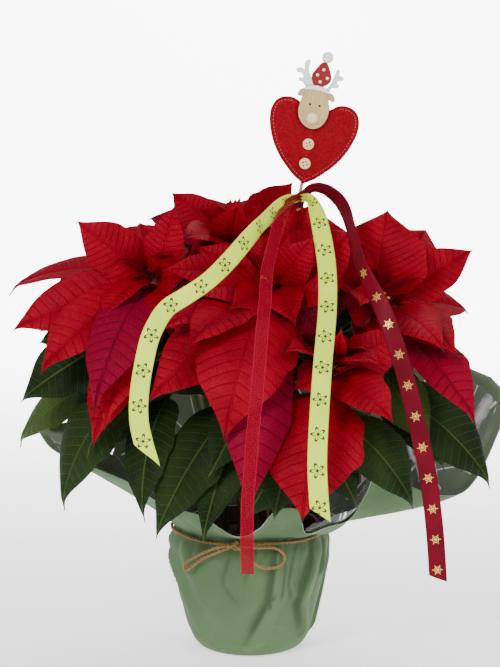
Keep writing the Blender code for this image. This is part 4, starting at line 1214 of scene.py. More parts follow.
# %% [markdown]
# More blades are added to those of the solids. Young bracts, only a few centimetres long, stand
# close round the flowers, and plain bracts and leaves fill the space between the stars. Each is
# bent clear of the rest, or left out where it finds no room.

# %% Blades that fill the space between the stars
FILLERS = {
    "right": (
        (26, (142, 16, 404), 88, 16, (-0.2, -1, 0.5), 0),
        (26, (104, 24, 396), 66, 14, (-0.2, -1, 0.5), 0),
        (26, (78, 20, 394), 50, 14, (-0.2, -1, 0.5), 0),
        (27, (172, 10, 384), 50, 14, (0.2, -1, 0.5), 0),
        (30, (95, 0, 309), 46, 12, (0, -1, 0.3), 0),
        (30, (82, -40, 336), 40, 10, (-0.1, -1, 0.4), 4),
        (28, (140, -70, 272), 46, 14, (0.1, -1, 0.3), 0),
    ),
    "middle": (
        (31, (88, 12, 332), 46, 14, (0.1, -1, 0.4), 0),
        (30, (-60, -20, 316), 44, 14, (-0.2, -1, 0.5), 0),
        (31, (36, -90, 268), 44, 16, (0, -1, 0.3), -4),
        (26, (-34, -96, 330), 34, 10, (-0.1, -1, 0.6), 4),
    ),
    "left": (
        (31, (-110, -60, 270), 44, 14, (0, -1, 0.3), 0),
        (26, (-52, -40, 352), 36, 8, (0.1, -1, 0.5), 6),
    ),
    "front": (
        (30, (50, -40, 252), 44, 14, (-0.1, -1, 0.3), 0),
        (24, (30, -120, 262), 34, 12, (-0.2, -1, 0.4), 2),
    ),
    "top": (
        (30, (-70, 10, 352), 44, 14, (-0.2, -1, 0.4), 0),
        (30, (30, 10, 356), 44, 14, (0.1, -1, 0.4), 0),
        (34, (34, 30, 322), 46, 10, (0, -1, 0.3), 0),
    ),
}
LEAF_FILLERS = {
    "right": (
        (58, (150, -40, 262), 54, 16, (0.2, -1, 0.5), 0),
        (70, (96, -40, 262), 50, 16, (0, -1, 0.5), 0),
        (48, (90, 20, 312), 54, 14, (-0.2, -1, 0.5), 0),
        (54, (150, 40, 290), 56, 14, (0.3, -1, 0.6), 0),
    ),
    "middle": (
        (56, (-66, -66, 286), 52, 16, (-0.2, -1, 0.5), 0),
        (60, (62, -66, 288), 50, 16, (0.2, -1, 0.5), 0),
        (66, (4, -100, 262), 50, 16, (0, -1, 0.4), 0),
        (50, (30, 20, 320), 50, 12, (0, -1, 0.5), 0),
    ),
    "left": (
        (54, (-64, -56, 276), 52, 16, (0.1, -1, 0.5), 0),
        (60, (-130, -50, 270), 52, 16, (-0.2, -1, 0.5), 0),
        (50, (-80, 20, 300), 52, 12, (0, -1, 0.5), 0),
    ),
    "top": (
        (44, (-70, 10, 330), 50, 14, (-0.2, -1, 0.5), 0),
        (48, (32, 0, 340), 50, 14, (0.2, -1, 0.5), 0),
    ),
    "front": (
        (50, (30, -70, 236), 50, 14, (-0.2, -1, 0.5), 0),
        (56, (110, -60, 226), 50, 14, (0.2, -1, 0.5), 0),
        (60, (4, -98, 134), 50, 14, (0, -1, 0.4), 0),
        (66, (-16, -92, 150), 46, 12, (0, -1, 0.4), 0),
    ),
}
print("filling bracts:", sum(len(rows) for rows in FILLERS.values()),
      "filling leaves:", sum(len(rows) for rows in LEAF_FILLERS.values()))

# %% Young bracts round the flowers
YOUNG_COUNT = 5
GOLDEN_TURN = 137.5
CROWN_DROP = 12.0


def young_bracts(stem, chance):
    """The rows of small bracts close round the flowers, in a loose spiral."""
    rise = stem.rise()
    first = rise.orthogonal().normalized()
    rows = []
    for turn in range(YOUNG_COUNT):
        out = Matrix.Rotation(math.radians(GOLDEN_TURN * turn + 40), 3, rise) @ first
        length = 16 + 3.2 * turn + chance.uniform(-2, 2)
        tip = stem.below(CROWN_DROP + 3) + out * length + rise * length * (0.42 - 0.06 * turn)
        rows.append((CROWN_DROP + 2 + 1.2 * turn, tip, 8 + 1.8 * turn, 2 + 0.4 * turn,
                     out * 0.3 + rise, 10))
    return rows


chance = random.Random(5)
young = {name: young_bracts(stem, chance) for name, stem in stems.items()}
added_bracts = blades_of("bracts_", young, BRACT_PETIOLE)
added_bracts += blades_of("bracts_", FILLERS, BRACT_PETIOLE)
bracts += settle(added_bracts, placed, keep_all=False)
leaves += settle(blades_of("stem_", LEAF_FILLERS, LEAF_PETIOLE), placed, keep_all=False)
print("bracts and leaves with the added ones:", len(bracts), len(leaves))

# %% [markdown]
# A real crown is closed: behind each gap between two blades there is another blade. So the crown is
# looked at from the front through a net of spots inside its outline. Where the view goes through
# with nothing in its way, a blade is grown from any stem that has room for it: a bract high up in
# the crown, a leaf low down. It goes past the spot, so that its broad part closes the gap. A slim
# one is tried where no broad one fits.

# %% What the view from the front meets
CROWN = (
    (-205, 305), (-150, 360), (-150, 390), (-125, 398), (-92, 388), (-66, 420), (0, 424), (33, 430),
    (57, 404), (78, 392), (111, 399), (142, 393), (172, 388), (170, 352), (188, 324), (186, 284),
    (200, 240), (196, 205), (138, 190), (83, 160), (52, 130), (0, 120), (-90, 124), (-110, 160),
    (-161, 165), (-190, 235),
)
EYE = Vector(CAMERA_PLACE) / MM
SURE = 0.8


def inside(x, z, outline):
    """Whether a spot lies in a closed outline."""
    crossings = 0
    for (ax, az), (bx, bz) in zip(outline, (*outline[1:], outline[0])):
        if (az > z) != (bz > z) and x < ax + (z - az) * (bx - ax) / (bz - az):
            crossings += 1
    return crossings % 2 == 1


def from_front(point, depth=0.0):
    """Where the line from the eye through a point meets the upright plane at a depth."""
    return EYE + (point - EYE) * ((depth - EYE.y) / (point.y - EYE.y))


def hides(tree, spot):
    return tree.ray_cast(EYE, (spot - EYE).normalized())[0] is not None


def sight_tree(blade):
    """A search tree of the part of a blade that surely hides what is behind it."""
    full = blade.width
    blade.width = SURE * full
    grid = blade.grid()
    blade.width = full
    return thick_tree(grid, 0.2)


# %% Grow blades behind the gaps
NET = 4
NET_X = (-210, 204)
NET_Z = (120, 430)
DEPTHS = (34, 60, 12, 86, -12, -36, 110)
PASTS = (1.3, 1.6, 1.12, 2.0)
SLIMNESS = (0.62, 0.42)
WIDEST_GROWN = 60
GROWN_ARCH = 0.12
SHORTEST, BEST_LENGTH, LONGEST = 36, 84, 125
BRACTS_ABOVE = 296
BRACT_SEATS = (31, 25)
LEAF_SEATS = (58, 46, 72)


def grow_behind(spot, placed):
    """Adds a blade that hides the spot from the front, if one fits, and returns it."""
    kind, seats, petiole = "stem_", LEAF_SEATS, LEAF_PETIOLE
    if spot.z > BRACTS_ABOVE:
        kind, seats, petiole = "bracts_", BRACT_SEATS, BRACT_PETIOLE
    tries = []
    for (name, stem), seat, depth, past in product(stems.items(), seats, DEPTHS, PASTS):
        root = stem.below(seat)
        tip = root + (from_front(spot, depth) - root) * past
        seen = from_front(tip)
        length = (tip - root).length
        if SHORTEST < length < LONGEST and inside(seen.x, seen.z, CROWN):
            tries.append((abs(length - BEST_LENGTH), name, seat, tip, length))
    for slim in SLIMNESS:
        for _, name, seat, tip, length in sorted(tries, key=lambda each: each[0]):
            row = (seat, tip, min(WIDEST_GROWN, slim * length), GROWN_ARCH * length,
                   (0, -1, 0.4), 0)
            blade = Blade(stems[name], row, petiole)
            trees = room_for(kind + name, blade, placed)
            if trees and hides(sight_tree(blade), spot):
                placed.append((kind + name, *trees))
                return kind + name, blade
    return None


def close_crown(placed):
    """Grows blades behind the gaps, and returns the added ones and how many gaps are left."""
    added, left = [], 0
    sights = [tree for owner, tree, _ in placed if owner == "wrap"]
    sights += [sight_tree(blade) for _, blade in bracts + leaves]
    for z, x in product(range(*NET_Z, NET), range(*NET_X, NET)):
        spot = Vector((x, 0, z))
        if not inside(x, z, CROWN) or any(hides(tree, spot) for tree in sights):
            continue
        grown = grow_behind(spot, placed)
        if grown:
            added.append(grown)
            sights.append(sight_tree(grown[1]))
        else:
            left += 1
    return added, left


closing, gaps_left = close_crown(placed)
bracts += [each for each in closing if each[0].startswith("bracts_")]
leaves += [each for each in closing if each[0].startswith("stem_")]
print("grown behind gaps:", len(closing), "still open:", gaps_left)

# %% [markdown]
# Now the stars and the branches are made. A star's bracts sit on a short red hub at the end of the
# stem. The deeper tone is painted shade, given to the bracts that hang in the shade of the others,
# and the rest differ a little by chance, from a seeded draw. The stem swells slightly at each joint.

# %% The stars and the branches
# Painted shade: the bracts, by their place in each star's list, that take the deeper tone, and how
# much.
SHADE_PAINTED_BRACTS = {"left": {0: 0.8, 4: 0.3, 16: 0.6}, "middle": {1: 0.75, 7: 0.7, 5: 0.35},
               "front": {0: 0.0}, "right": {1: 0.55, 6: 0.8}, "top": {1: 0.9}}
LEAF_TONES = {"left": {1: 0.35, 2: -0.9, 3: 0.6, 4: 0.3, 6: -0.2}, "front": {0: 0.3, 1: 0.25},
              "middle": {0: 0.3, 2: 0.25, 3: 0.4}, "right": {0: 0.1, 2: 0.5}}
TONE_RANGE = {"bracts": 0.22, "stem": 0.25}
HUB_STEPS = 12
SHAFT_STEPS = 40
JOINT_EVERY = 8
draw = random.Random(12)


def dress_blades(piece, node_name, kind, tones, blades, path, radii, finishes):
    """One star or one branch: its blades, and the stretch of stem that carries them."""
    bm = blade_mesh()
    for index, blade in enumerate(blades):
        add_blade(bm, blade, kind, tones.get(index, draw.uniform(0.0, TONE_RANGE[kind])))
    before = set(bm.faces)
    add_tube(bm, path, radii, sides=14)
    for face in set(bm.faces) - before:
        face.material_index = 2
        face.smooth = True
    made = dressed(piece, bm, (*finishes, stem_skin), (node_name,), smooth=False)
    print(piece, len(blades), "blades,", len(made.data.polygons), "faces")


def of_owner(owner, blades):
    return [blade for other, blade in blades if other == owner]


HUB_RADII = [HUB_R * (0.86 + 0.1 * math.sin(1.3 * step)) for step in range(HUB_STEPS + 1)]
SHAFT_RADII = [(STEM_TIP_R + (STEM_ROOT_R - STEM_TIP_R) * step / SHAFT_STEPS)
               * (0.98 if step % JOINT_EVERY else 1.06) for step in range(SHAFT_STEPS + 1)]
for star, stem in stems.items():
    hub = stem.stretch(CROWN_DROP, HUB_LENGTH, HUB_STEPS)
    dress_blades("star_" + star, "bracts_" + star, "bracts", SHADE_PAINTED_BRACTS.get(star, {}),
                 of_owner("bracts_" + star, bracts), hub, HUB_RADII,
                 (bract_upper, bract_under))
    shaft = stem.stretch(HUB_LENGTH, stem.length(), SHAFT_STEPS)
    dress_blades("branch_" + star, "stem_" + star, "stem", LEAF_TONES.get(star, {}),
                 of_owner("stem_" + star, leaves), shaft, SHAFT_RADII,
                 (leaf_upper, leaf_under))

# %% [markdown]
# The real flowers of a poinsettia are the small cups in the middle of each star. Each cup is green,
# has one yellow gland like a lip on its side, and holds a tuft of red stamens with yellow ends.
# One cup stands in the middle, seven stand round it, and they lean outwards.

# %% Materials of the flowers
cup_green = mottled("cup_green", (0.06, 0.15, 0.02), (0.18, 0.27, 0.04), 250.0, 0.45)
gland_yellow = mottled("gland_yellow", (0.75, 0.42, 0.02), (0.80, 0.62, 0.06), 400.0, 0.3)
stamen_red = mottled("stamen_red", (0.40, 0.02, 0.01), (0.60, 0.30, 0.02), 600.0, 0.5)

# %% The flowers
CUP_R = 2.3
CUP_TALL = 3.1
MOUTH = CUP_TALL * 1.7
CUPS_AROUND = 7
STAMENS = 7


def add_ball(bm, matrix, radii, index, detail=10):
    """An egg-shaped ball with three radii, placed by a matrix."""
    shape = matrix @ Matrix.Diagonal((*radii, 1.0))
    made = bmesh.ops.create_uvsphere(bm, u_segments=detail, v_segments=max(5, detail // 2 + 2),
                                     radius=1.0, matrix=shape)["verts"]
    for face in {face for vert in made for face in vert.link_faces}:
        face.material_index = index
    return made


def add_cup(bm, foot, way, spin, size):
    """One flower: its cup with a dimpled mouth, its gland and its stamens."""
    stand = Matrix.Translation(foot) @ way.to_track_quat("Z", "Y").to_matrix().to_4x4()
    stand = stand @ Matrix.Rotation(spin, 4, "Z") @ Matrix.Scale(size, 4)
    body = add_ball(bm, Matrix.Translation((0, 0, CUP_TALL)), (CUP_R, CUP_R, CUP_TALL), 0, 14)
    for vert in body:
        if vert.co.z > MOUTH:
            vert.co.z = 2 * MOUTH - vert.co.z
        vert.co = stand @ vert.co
    gland = stand @ Matrix.Translation((CUP_R * 0.95, 0, CUP_TALL * 1.35))
    add_ball(bm, gland, (0.9, 1.7, 1.2), 1, 12)
    for turn in range(STAMENS):
        lean = Matrix.Rotation(0.9 * turn, 4, "Z") @ Matrix.Rotation(0.32 * (turn > 0), 4, "Y")
        lean = stand @ Matrix.Translation((0, 0, CUP_TALL * 1.4)) @ lean
        reach = 1.9 + 0.5 * (turn % 3)
        add_ball(bm, lean @ Matrix.Translation((0, 0, reach / 2)), (0.28, 0.28, reach / 2), 2, 6)
        add_ball(bm, lean @ Matrix.Translation((0, 0, reach)), (0.5, 0.5, 0.4), 1, 6)


def dress_flowers(name, stem):
    bm = bmesh.new()
    rise = stem.rise()
    first = rise.orthogonal().normalized()
    crown = stem.below(CROWN_DROP)
    add_cup(bm, crown - rise * 0.5, rise, draw.uniform(0, 6), 1.25)
    for turn in range(CUPS_AROUND):
        out = Matrix.Rotation(math.radians(51 * turn + 14), 3, rise) @ first
        size = draw.uniform(0.9, 1.2)
        add_cup(bm, crown + out * 3.0 - rise * 0.6, (rise + out * 0.85).normalized(),
                draw.uniform(0, 6), size)
    dressed("cups_" + name, bm, (cup_green, gland_yellow, stamen_red), ("flowers_" + name,))


for star, stem in stems.items():
    dress_flowers(star, stem)
print("flowers on", len(stems), "stars")

# %% [markdown]
# The wrap was one flat sheet, so it can bend and crease but hardly stretch. Its cut edge is smooth
# between sharp corners. Below the twine the wall carries a few long sharp creases where the sheet
# was turned round the pot, and at the twine it is gathered into many small folds that open out
# into the collar. The fine surface is the solid's own form plus these creases and folds.

# %% The fine form of the wrap
SHARP_CORNERS = (14, 18, 26)
AROUND = 320
WALL_STEPS = 11
COLLAR_STEPS = 54
COLUMNS_A_SPAN = AROUND // len(RIM)
NECK_LIFT = 4.0
MM_A_DEGREE = 1.15
STEEP_SIDE, FLAT_SIDE = 2.2, 0.75
NECK_HEIGHT, NECK_REACH = 113, 17
BULGE_HEIGHT, BULGE_REACH = 98, 7
CREASES = (
    (((-80, 88), (-62, 52), (-40, 20)), 3.4, 11.0), (((20, 104), (16, 58), (-3, 10)), 4.0, 12.0),
    (((27, 112), (25, 62)), 2.6, 6.0), (((53, 110), (43, 50), (50, 24)), 4.0, 11.0),
    (((-39, 84), (-33, 52)), 1.8, 7.0), (((34, 104), (30, 74), (36, 60)), 2.2, 7.0),
    (((-12, 104), (-18, 76), (-10, 60)), 2.4, 8.0), (((4, 100), (-2, 80)), 1.8, 5.0),
    (((-56, 98), (-50, 80)), 2.2, 7.0), (((66, 104), (62, 78)), 2.2, 6.0),
    (((84, 108), (96, 60), (88, 18)), 2.2, 9.0), (((118, 110), (108, 52), (124, 16)), 1.8, 8.0),
    (((150, 104), (160, 50)), 2.0, 9.0), (((186, 110), (176, 56), (190, 18)), 2.4, 9.0),
    (((214, 106), (224, 48), (212, 20)), 1.8, 8.0), (((244, 110), (252, 60), (240, 16)), 2.2, 9.0),
    (((268, 100), (262, 40)), 1.4, 7.0), (((290, 112), (284, 80)), 1.4, 6.0),
)


def rim_at(place):
    """Azimuth, reach and height of the cut edge at a place between two points of the list."""
    count = len(RIM)
    first = math.floor(place)
    around_four = []
    for index in range(first - 1, first + 3):
        azimuth, reach, height = RIM[index % count]
        around_four.append(Vector((azimuth + 360 * (index // count), reach, height)))
    a, b, c, d = around_four
    if first % count in SHARP_CORNERS:
        a = 2 * b - c
    if (first + 1) % count in SHARP_CORNERS:
        d = 2 * c - b
    return curve_value(a, b, c, d, place - first)


def crease_depth(azimuth, height):
    """How far the creases push the wall out at a place, and how shaded they leave it.

    Each is steep on its right side, and the foot of that side is what gets the least light.
    """
    total = 0.0
    shade = 0.0
    for line, depth, reach in CREASES:
        nearest = 1e9
        for (turn_a, low), (turn_b, high) in zip(line, line[1:]):
            off = ((azimuth - turn_a + 180) % 360 - 180) * MM_A_DEGREE
            span = Vector(((turn_b - turn_a) * MM_A_DEGREE, high - low))
            spot = Vector((off, height - low))
            share = min(1.0, max(0.0, spot.dot(span) / span.length_squared))
            apart = spot - span * share
            steep = span.cross(apart) < 0
            nearest = min(nearest, apart.length * (STEEP_SIDE if steep else FLAT_SIDE))
            if steep:
                away = apart.length / reach
                dark = rise_to(away, 0.02, 0.2) * (1 - rise_to(away, 0.2, 0.85))
                shade = max(shade, dark * depth / 4)
        total = max(total, depth * max(0.0, 1 - nearest / reach))
    return total * (2.1 - 1.1 * rise_to(height, 78, 106)), shade


# %% The gathers at the twine
fold_draw = random.Random(7)
FOLD_PLACES = [0.0]
while FOLD_PLACES[-1] < 346:
    FOLD_PLACES.append(FOLD_PLACES[-1] + fold_draw.uniform(4.5, 11.0))
FOLD_PLACES.append(360.0)
FOLD_SIZES = [fold_draw.uniform(0.5, 1.0) * (index % 2) for index in range(len(FOLD_PLACES) - 1)]
FOLD_SIZES.append(FOLD_SIZES[0])


def bell(value, middle, reach):
    """1 at the middle, and falling smoothly to nearly 0 at twice the reach."""
    return math.exp(-(((value - middle) / reach) ** 2))


def gather(azimuth):
    """The gathers' height at an azimuth, from 0 in a valley to 1 on the highest crest."""
    azimuth %= 360
    index = max(k for k, place in enumerate(FOLD_PLACES[:-1]) if place <= azimuth)
    share = (azimuth - FOLD_PLACES[index]) / (FOLD_PLACES[index + 1] - FOLD_PLACES[index])
    return FOLD_SIZES[index] * (1 - share) + FOLD_SIZES[index + 1] * share


WALL_PATH = [Vector(point) for point in WALL[1:]]
FINE_WALL = [Vector((0, 0)), Vector((22, 0)), *smooth_path(WALL_PATH, WALL_STEPS)]
FINE_ROWS = len(FINE_WALL) + COLLAR_STEPS
print("gathers:", len(FOLD_PLACES), "rows of the wrap:", FINE_ROWS)

# %% A point of the fine wrap


def wall_point(azimuth, row, film):
    radius, height = FINE_WALL[row]
    height = max(0.0, height)
    wave = math.sin(math.pi * min(1.0, height / TIE_HEIGHT)) if height > 14 else 0.0
    swell = PLEAT_DEPTH * wave * math.sin(PLEATS * math.radians(azimuth))
    swell += 0.9 * wave * math.sin(3 * math.radians(azimuth) + 0.05 * height)
    swell += crease_depth(azimuth, height)[0] * rise_to(height, 4, 16)
    down = NECK_HEIGHT - height
    crest = gather(azimuth + 0.12 * down) * (4.2 * rise_to(down, 1, 12) + 0.25)
    swell += (crest - 0.7) * bell(height, NECK_HEIGHT, NECK_REACH)
    swell += 1.6 * bell(height, BULGE_HEIGHT, BULGE_REACH) * gather(azimuth * 0.5 + 40)
    inset = FILM_INSET if film else 0.0
    lift = FILM_LIFT if film and height < 3 else 0.0
    shrink = inset if height > 1 else 0.0
    return around(azimuth, radius + swell - shrink, height + PAPER / 2 + lift)


def collar_point(place, share, film):
    """A point of the collar, from the neck at share 0 to the cut edge at share 1."""
    azimuth, reach, height = rim_at(place)
    neck, low, edge = collar_curve(azimuth, reach, height)
    span = (edge - neck).length
    t = share * (1 + film_change(azimuth) / span) if film else share
    inset = FILM_INSET if film else 0.0
    point = neck * (1 - t) ** 2 + low * 2 * t * (1 - t) + edge * t**2
    along = (low - neck) * 2 * (1 - t) + (edge - low) * 2 * t
    turn = math.radians(azimuth)
    sideways = Vector((math.cos(turn), math.sin(turn), 0))
    outward = along.cross(sideways).normalized()
    growth = (0.25 + 2.6 * rise_to(t * span, 2, 26)) * (1 - 0.75 * rise_to(t, 0.35, 1.0))
    shape = gather(azimuth) * growth - 0.7 * bell(t * span, 0, 9)
    broad = 1.6 * math.sin(5 * turn + 1.0) * math.sin(math.pi * min(1.0, t)) ** 2
    point = point + outward * (shape + broad + 0.6)
    point.z += NECK_LIFT * 4 * t * max(0.0, 0.5 - t) if t < 0.5 else 0.0
    return point + around(azimuth, -0.9 * inset, 1.4 * inset)


def painted_fold_shade(row, column):
    """How much painted shade darkens the paper at a point, from 0 on the open wall to about 0.8 deep
    in a fold.
    """
    azimuth = rim_at((column % AROUND) / COLUMNS_A_SPAN)[0]
    if row >= len(FINE_WALL):
        return 0.5 * (1 - gather(azimuth)) * (1 - rise_to(row - len(FINE_WALL), 1, 9))
    height = FINE_WALL[row].y
    shade = 0.8 * crease_depth(azimuth, height)[1] * rise_to(height, 12, 40)
    valley = 1 - gather(azimuth + 0.12 * (NECK_HEIGHT - height))
    pinched = 0.5 * valley * rise_to(height, 92, 108)
    return max(shade, pinched)


def fine_wrap_point(row, column, film=False):
    place = (column % AROUND) / COLUMNS_A_SPAN
    if row < len(FINE_WALL):
        return wall_point(rim_at(place)[0], row, film)
    return collar_point(place, (row - len(FINE_WALL) + 1) / COLLAR_STEPS, film)


# %% [markdown]
# The paper is sage green on its outside and a greyer green inside, where the film lies on it. Its
# cut edge shows the pale core. Fine fibres and a faint wrinkling come from noise. The long creases
# catch the light by their real shape, and an attribute of the mesh darkens the paper down in them,
# where little light gets to. Two solidified sides and the rim take one material each.

# %% Node group: paper fibres
fibres, fibre_in, fibre_out = group_tree("paper_fibres", {"Scale": 1.0}, ("Cloud", "Height"))
spot = node(fibres, "VectorMath", {0: on_object(fibres), "Scale": fibre_in.outputs["Scale"]},
            operation="SCALE").outputs["Vector"]
bend = ramp(fibres, borders(fibres, 26.0, spot), 0.0, 0.10, 0.35, 0.0)
grain = times(fibres, noise(fibres, 1400.0, 3.0), 0.35)
soft = times(fibres, noise(fibres, 60.0, 3.0), 1.2)
relief = calc(fibres, "ADD", calc(fibres, "ADD", grain, soft), bend)
wire(fibres, fibre_out, Cloud=noise(fibres, 9.0, 4.0, spot), Height=relief)

# %% Material: paper


def paper_material(name, dark, light, roughness):
    made, tree, shader = finish(name, light, roughness, Specular_IOR_Level=0.25, Sheen_Weight=0.05)
    fibre = placed_group(tree, fibres, Scale=1.0)
    speck = ramp(tree, noise(tree, 2600.0, 1.0), 0.35, 0.75, 0.0, 0.35)
    colour = blend(tree, ramp(tree, fibre["Cloud"], 0.35, 0.65), dark, light)
    colour = blend(tree, speck, colour, tuple(0.72 * part for part in dark))
    # Painted shade: the fold attribute darkens the paper deep in the creases and the gathers.
    colour = blend(tree, attribute(tree, "fold"), colour, tuple(0.4 * part for part in dark))
    rough = ramp(tree, fibre["Cloud"], 0.2, 0.8, roughness - 0.06, roughness + 0.06)
    wire(tree, shader, Base_Color=colour, Roughness=rough,
         Normal=bumped(tree, fibre["Height"], 0.0007, 0.8))
    return made


paper_out = paper_material("paper_outside", (0.076, 0.135, 0.058), (0.104, 0.176, 0.079), 0.78)
paper_in = paper_material("paper_inside", (0.14, 0.19, 0.115), (0.175, 0.235, 0.145), 0.8)
paper_edge = paper_material("paper_edge", (0.42, 0.50, 0.40), (0.52, 0.60, 0.49), 0.85)
print("paper:", paper_out.name, paper_in.name, paper_edge.name)

# %% The paper of the wrap


def wrap_sheet(name, finishes, film, thick):
    """The fine paper or film, as one sheet with its thickness and its cut edge."""
    bm = bmesh.new()
    fold = bm.verts.layers.float.new("fold")
    first = 3 if film else 0
    where = mapped_grid(bm, FINE_ROWS - 1, AROUND,
                        lambda row, column: fine_wrap_point(max(row, first), column, film))
    for vert, (row, column) in where.items():
        vert[fold] = painted_fold_shade(row, column)
    close_seams(bm, where)
    bmesh.ops.reverse_faces(bm, faces=bm.faces)
    made = dressed(name, bm, finishes, (name.replace("fine_", ""),))
    solid = thicken(made, thick)
    solid.material_offset = min(1, len(finishes) - 1)
    solid.material_offset_rim = len(finishes) - 1
    print(name, "faces:", len(made.data.polygons))


wrap_sheet("fine_wrap_paper", (paper_out, paper_in, paper_edge), False, 0.6)

# %% [markdown]
# The film inside the paper is thin clear plastic. Light goes straight through so thin a sheet, so
# it is nearly all clear and gets no bending of glass. What shows is a faint veil, denser at a
# slant, and white glints on its creases, which come and go along each crease. The glints are painted
# highlights: white lines drawn into the film's colour and cover.

# %% Material: clear film
film_clear, film_tree, film_shader = finish("film_clear", (0.9, 0.92, 0.91), 0.12,
                                            Specular_IOR_Level=0.8, IOR=1.5)
bent = node(film_tree, "Mapping", {"Vector": on_object(film_tree), "Scale": (1.0, 1.0, 0.6),
                                   "Rotation": (0.5, 0.3, 0.4)}).outputs["Vector"]
# Painted highlights: white glint lines on the creases, large and small, shown where a noise allows.
part = ramp(film_tree, noise(film_tree, 24.0, 1.0), 0.40, 0.50)
crease = borders(film_tree, 17.0, bent)
painted_glint = times(film_tree, ramp(film_tree, crease, 0.0, 0.034, 0.95, 0.0), part)
part = ramp(film_tree, noise(film_tree, 33.0, 1.0), 0.46, 0.54)
crease = borders(film_tree, 30.0, bent)
small_painted_glint = times(film_tree, ramp(film_tree, crease, 0.0, 0.028, 0.8, 0.0), part)
slant = node(film_tree, "LayerWeight", {"Blend": 0.3}).outputs["Facing"]
veil = ramp(film_tree, slant, 0.2, 1.0, 0.03, 0.16)
cover = calc(film_tree, "MAXIMUM", calc(film_tree, "MAXIMUM", painted_glint, small_painted_glint), veil)
facets = node(film_tree, "TexVoronoi", {"Vector": bent, "Scale": 17.0}, feature="F1")
wire(film_tree, film_shader, Alpha=cover,
     Base_Color=blend(film_tree, noise(film_tree, 20.0), (0.88, 0.91, 0.90), (0.96, 0.97, 0.96)),
     Roughness=ramp(film_tree, noise(film_tree, 30.0), 0.3, 0.7, 0.12, 0.26),
     Normal=bumped(film_tree, facets.outputs["Distance"], 0.006, 0.4))

# %% The film of the wrap
wrap_sheet("fine_wrap_film", (film_clear,), True, 0.12)

# %% [markdown]
# The pick is a toy made of felt and thin board. The heart is red felt with a row of running
# stitches a few millimetres inside its cut edge. Its outline is one half, mirrored, and the grid
# that makes it runs in rings from the middle out to the edge and back over the rear side, like a
# flat pillow.

# %% Material: felt
felt, felt_tree, felt_shader = finish("red_felt", (0.22, 0.0003, 0.0085), 0.92, Sheen_Weight=0.02,
                                      Sheen_Roughness=0.5, Specular_IOR_Level=0.15)
fluff = noise(felt_tree, 700.0, 4.0)
wire(felt_tree, felt_shader,
     Base_Color=blend(felt_tree, ramp(felt_tree, fluff, 0.3, 0.7), (0.19, 0.0004, 0.005),
                      (0.29, 0.0008, 0.009)),
     Roughness=ramp(felt_tree, noise(felt_tree, 90.0), 0.2, 0.8, 0.85, 0.98),
     Normal=bumped(felt_tree, calc(felt_tree, "ADD", fluff, noise(felt_tree, 2500.0, 2.0)), 0.0006))

# %% The heart
FINE_HALF = (
    (0, 1.5), (9.5, 7.3), (18, 14.8), (26.3, 23.7), (33.4, 34.5), (38.3, 46.2), (40.5, 55.6),
    (40.5, 64.4), (37.4, 72), (31.3, 76.2), (24.2, 77.2), (18, 75.5), (13.7, 72.3), (7, 69), (0, 66),
)
HEART_STEPS = 8
STITCH_INSET = 3.4
HEART_MIDDLE = Vector((0, 42))
HEART_RINGS = (0.0, 0.3, 0.6, 0.82, 0.885, 0.905, 0.925, 0.96, 0.985, 0.997, 1.0)
HEART_RISE = (2.5, 2.48, 2.42, 2.36, 2.25, 1.95, 2.15, 1.9, 1.4, 0.8, 0.3)


def heart_outline():
    """The heart's outline, from its tip up the right side to the notch and down the left side."""
    right = smooth_path([Vector(point) for point in FINE_HALF], HEART_STEPS)
    return [*right, *[Vector((-x, z)) for x, z in right[-2:0:-1]]]


def make_heart():
    outline = heart_outline()
    bm = bmesh.new()
    rings = len(HEART_RINGS)
    count = len(outline)

    def place(row, column):
        ring = row if row < rings else 2 * rings - 1 - row
        spot = HEART_MIDDLE.lerp(outline[column % count], HEART_RINGS[ring])
        height = HEART_RISE[ring] * (-1 if row < rings else 1)
        return on_heart(spot.x, spot.y, height)

    close_seams(bm, mapped_grid(bm, 2 * rings - 1, count, place))
    bmesh.ops.recalc_face_normals(bm, faces=bm.faces)
    made = dressed("fine_heart", bm, (felt,), ("heart",))
    print("heart faces:", len(made.data.polygons))


make_heart()

# %% [markdown]
# A stitch is a short pale thread that dips into the felt at both ends. Each one is a stretched
# ball of a few dozen faces. They follow the outline at a fixed distance inside it, found by
# walking along the outline in equal steps. A red thread runs down the middle under the buttons.

# %% The stitches
THREADS = (("pink_thread", (0.46, 0.07, 0.075), (0.62, 0.17, 0.16)),
           ("red_thread", (0.36, 0.004, 0.02), (0.44, 0.01, 0.03)))
threads = [mottled(*thread, 900.0, 0.7, Sheen_Weight=0.1) for thread in THREADS]
STITCH_PITCH = 2.6
STITCH_HALF = 0.95
STITCH_R = 0.23
RED_STITCHES = (5.5, 9.5, 26.0, 29.2, 44.0, 47.5)


def inner_line(outline, inset):
    """The outline moved inwards by a distance."""
    line = []
    count = len(outline)
    for index, spot in enumerate(outline):
        along = (outline[(index + 1) % count] - outline[index - 1]).normalized()
        inward = Vector((-along.y, along.x)) * inset
        line.append(spot + inward)
    return line


def add_stitch(bm, start, end, depth, index):
    """A stitch between two spots of the heart's plane, as a stretched ball."""
    a, b = on_heart(start.x, start.y, -depth), on_heart(end.x, end.y, -depth)
    stand = Matrix.Translation((a + b) / 2) @ (b - a).to_track_quat("Z", "Y").to_matrix().to_4x4()
    add_ball(bm, stand, (STITCH_R, STITCH_R, (b - a).length / 2), index, 6)


def make_stitches():
    bm = bmesh.new()
    line = inner_line(heart_outline(), STITCH_INSET)
    walked, last = 0.0, line[0]
    total = 0
    for spot in line[1:] + line[:1]:
        walked += (spot - last).length
        if walked >= STITCH_PITCH:
            half = (spot - last).normalized() * STITCH_HALF
            if min((spot - other).length for other in heart_outline()) > STITCH_INSET - 0.6:
                add_stitch(bm, spot - half, spot + half, 2.1, 0)
                total += 1
            walked = 0.0
        last = spot
    for low in RED_STITCHES:
        add_stitch(bm, Vector((-1.6, low)), Vector((-1.4, low + 2.4)), 2.35, 1)
    dressed("stitches", bm, threads, ())
    print("stitches:", total)


make_stitches()

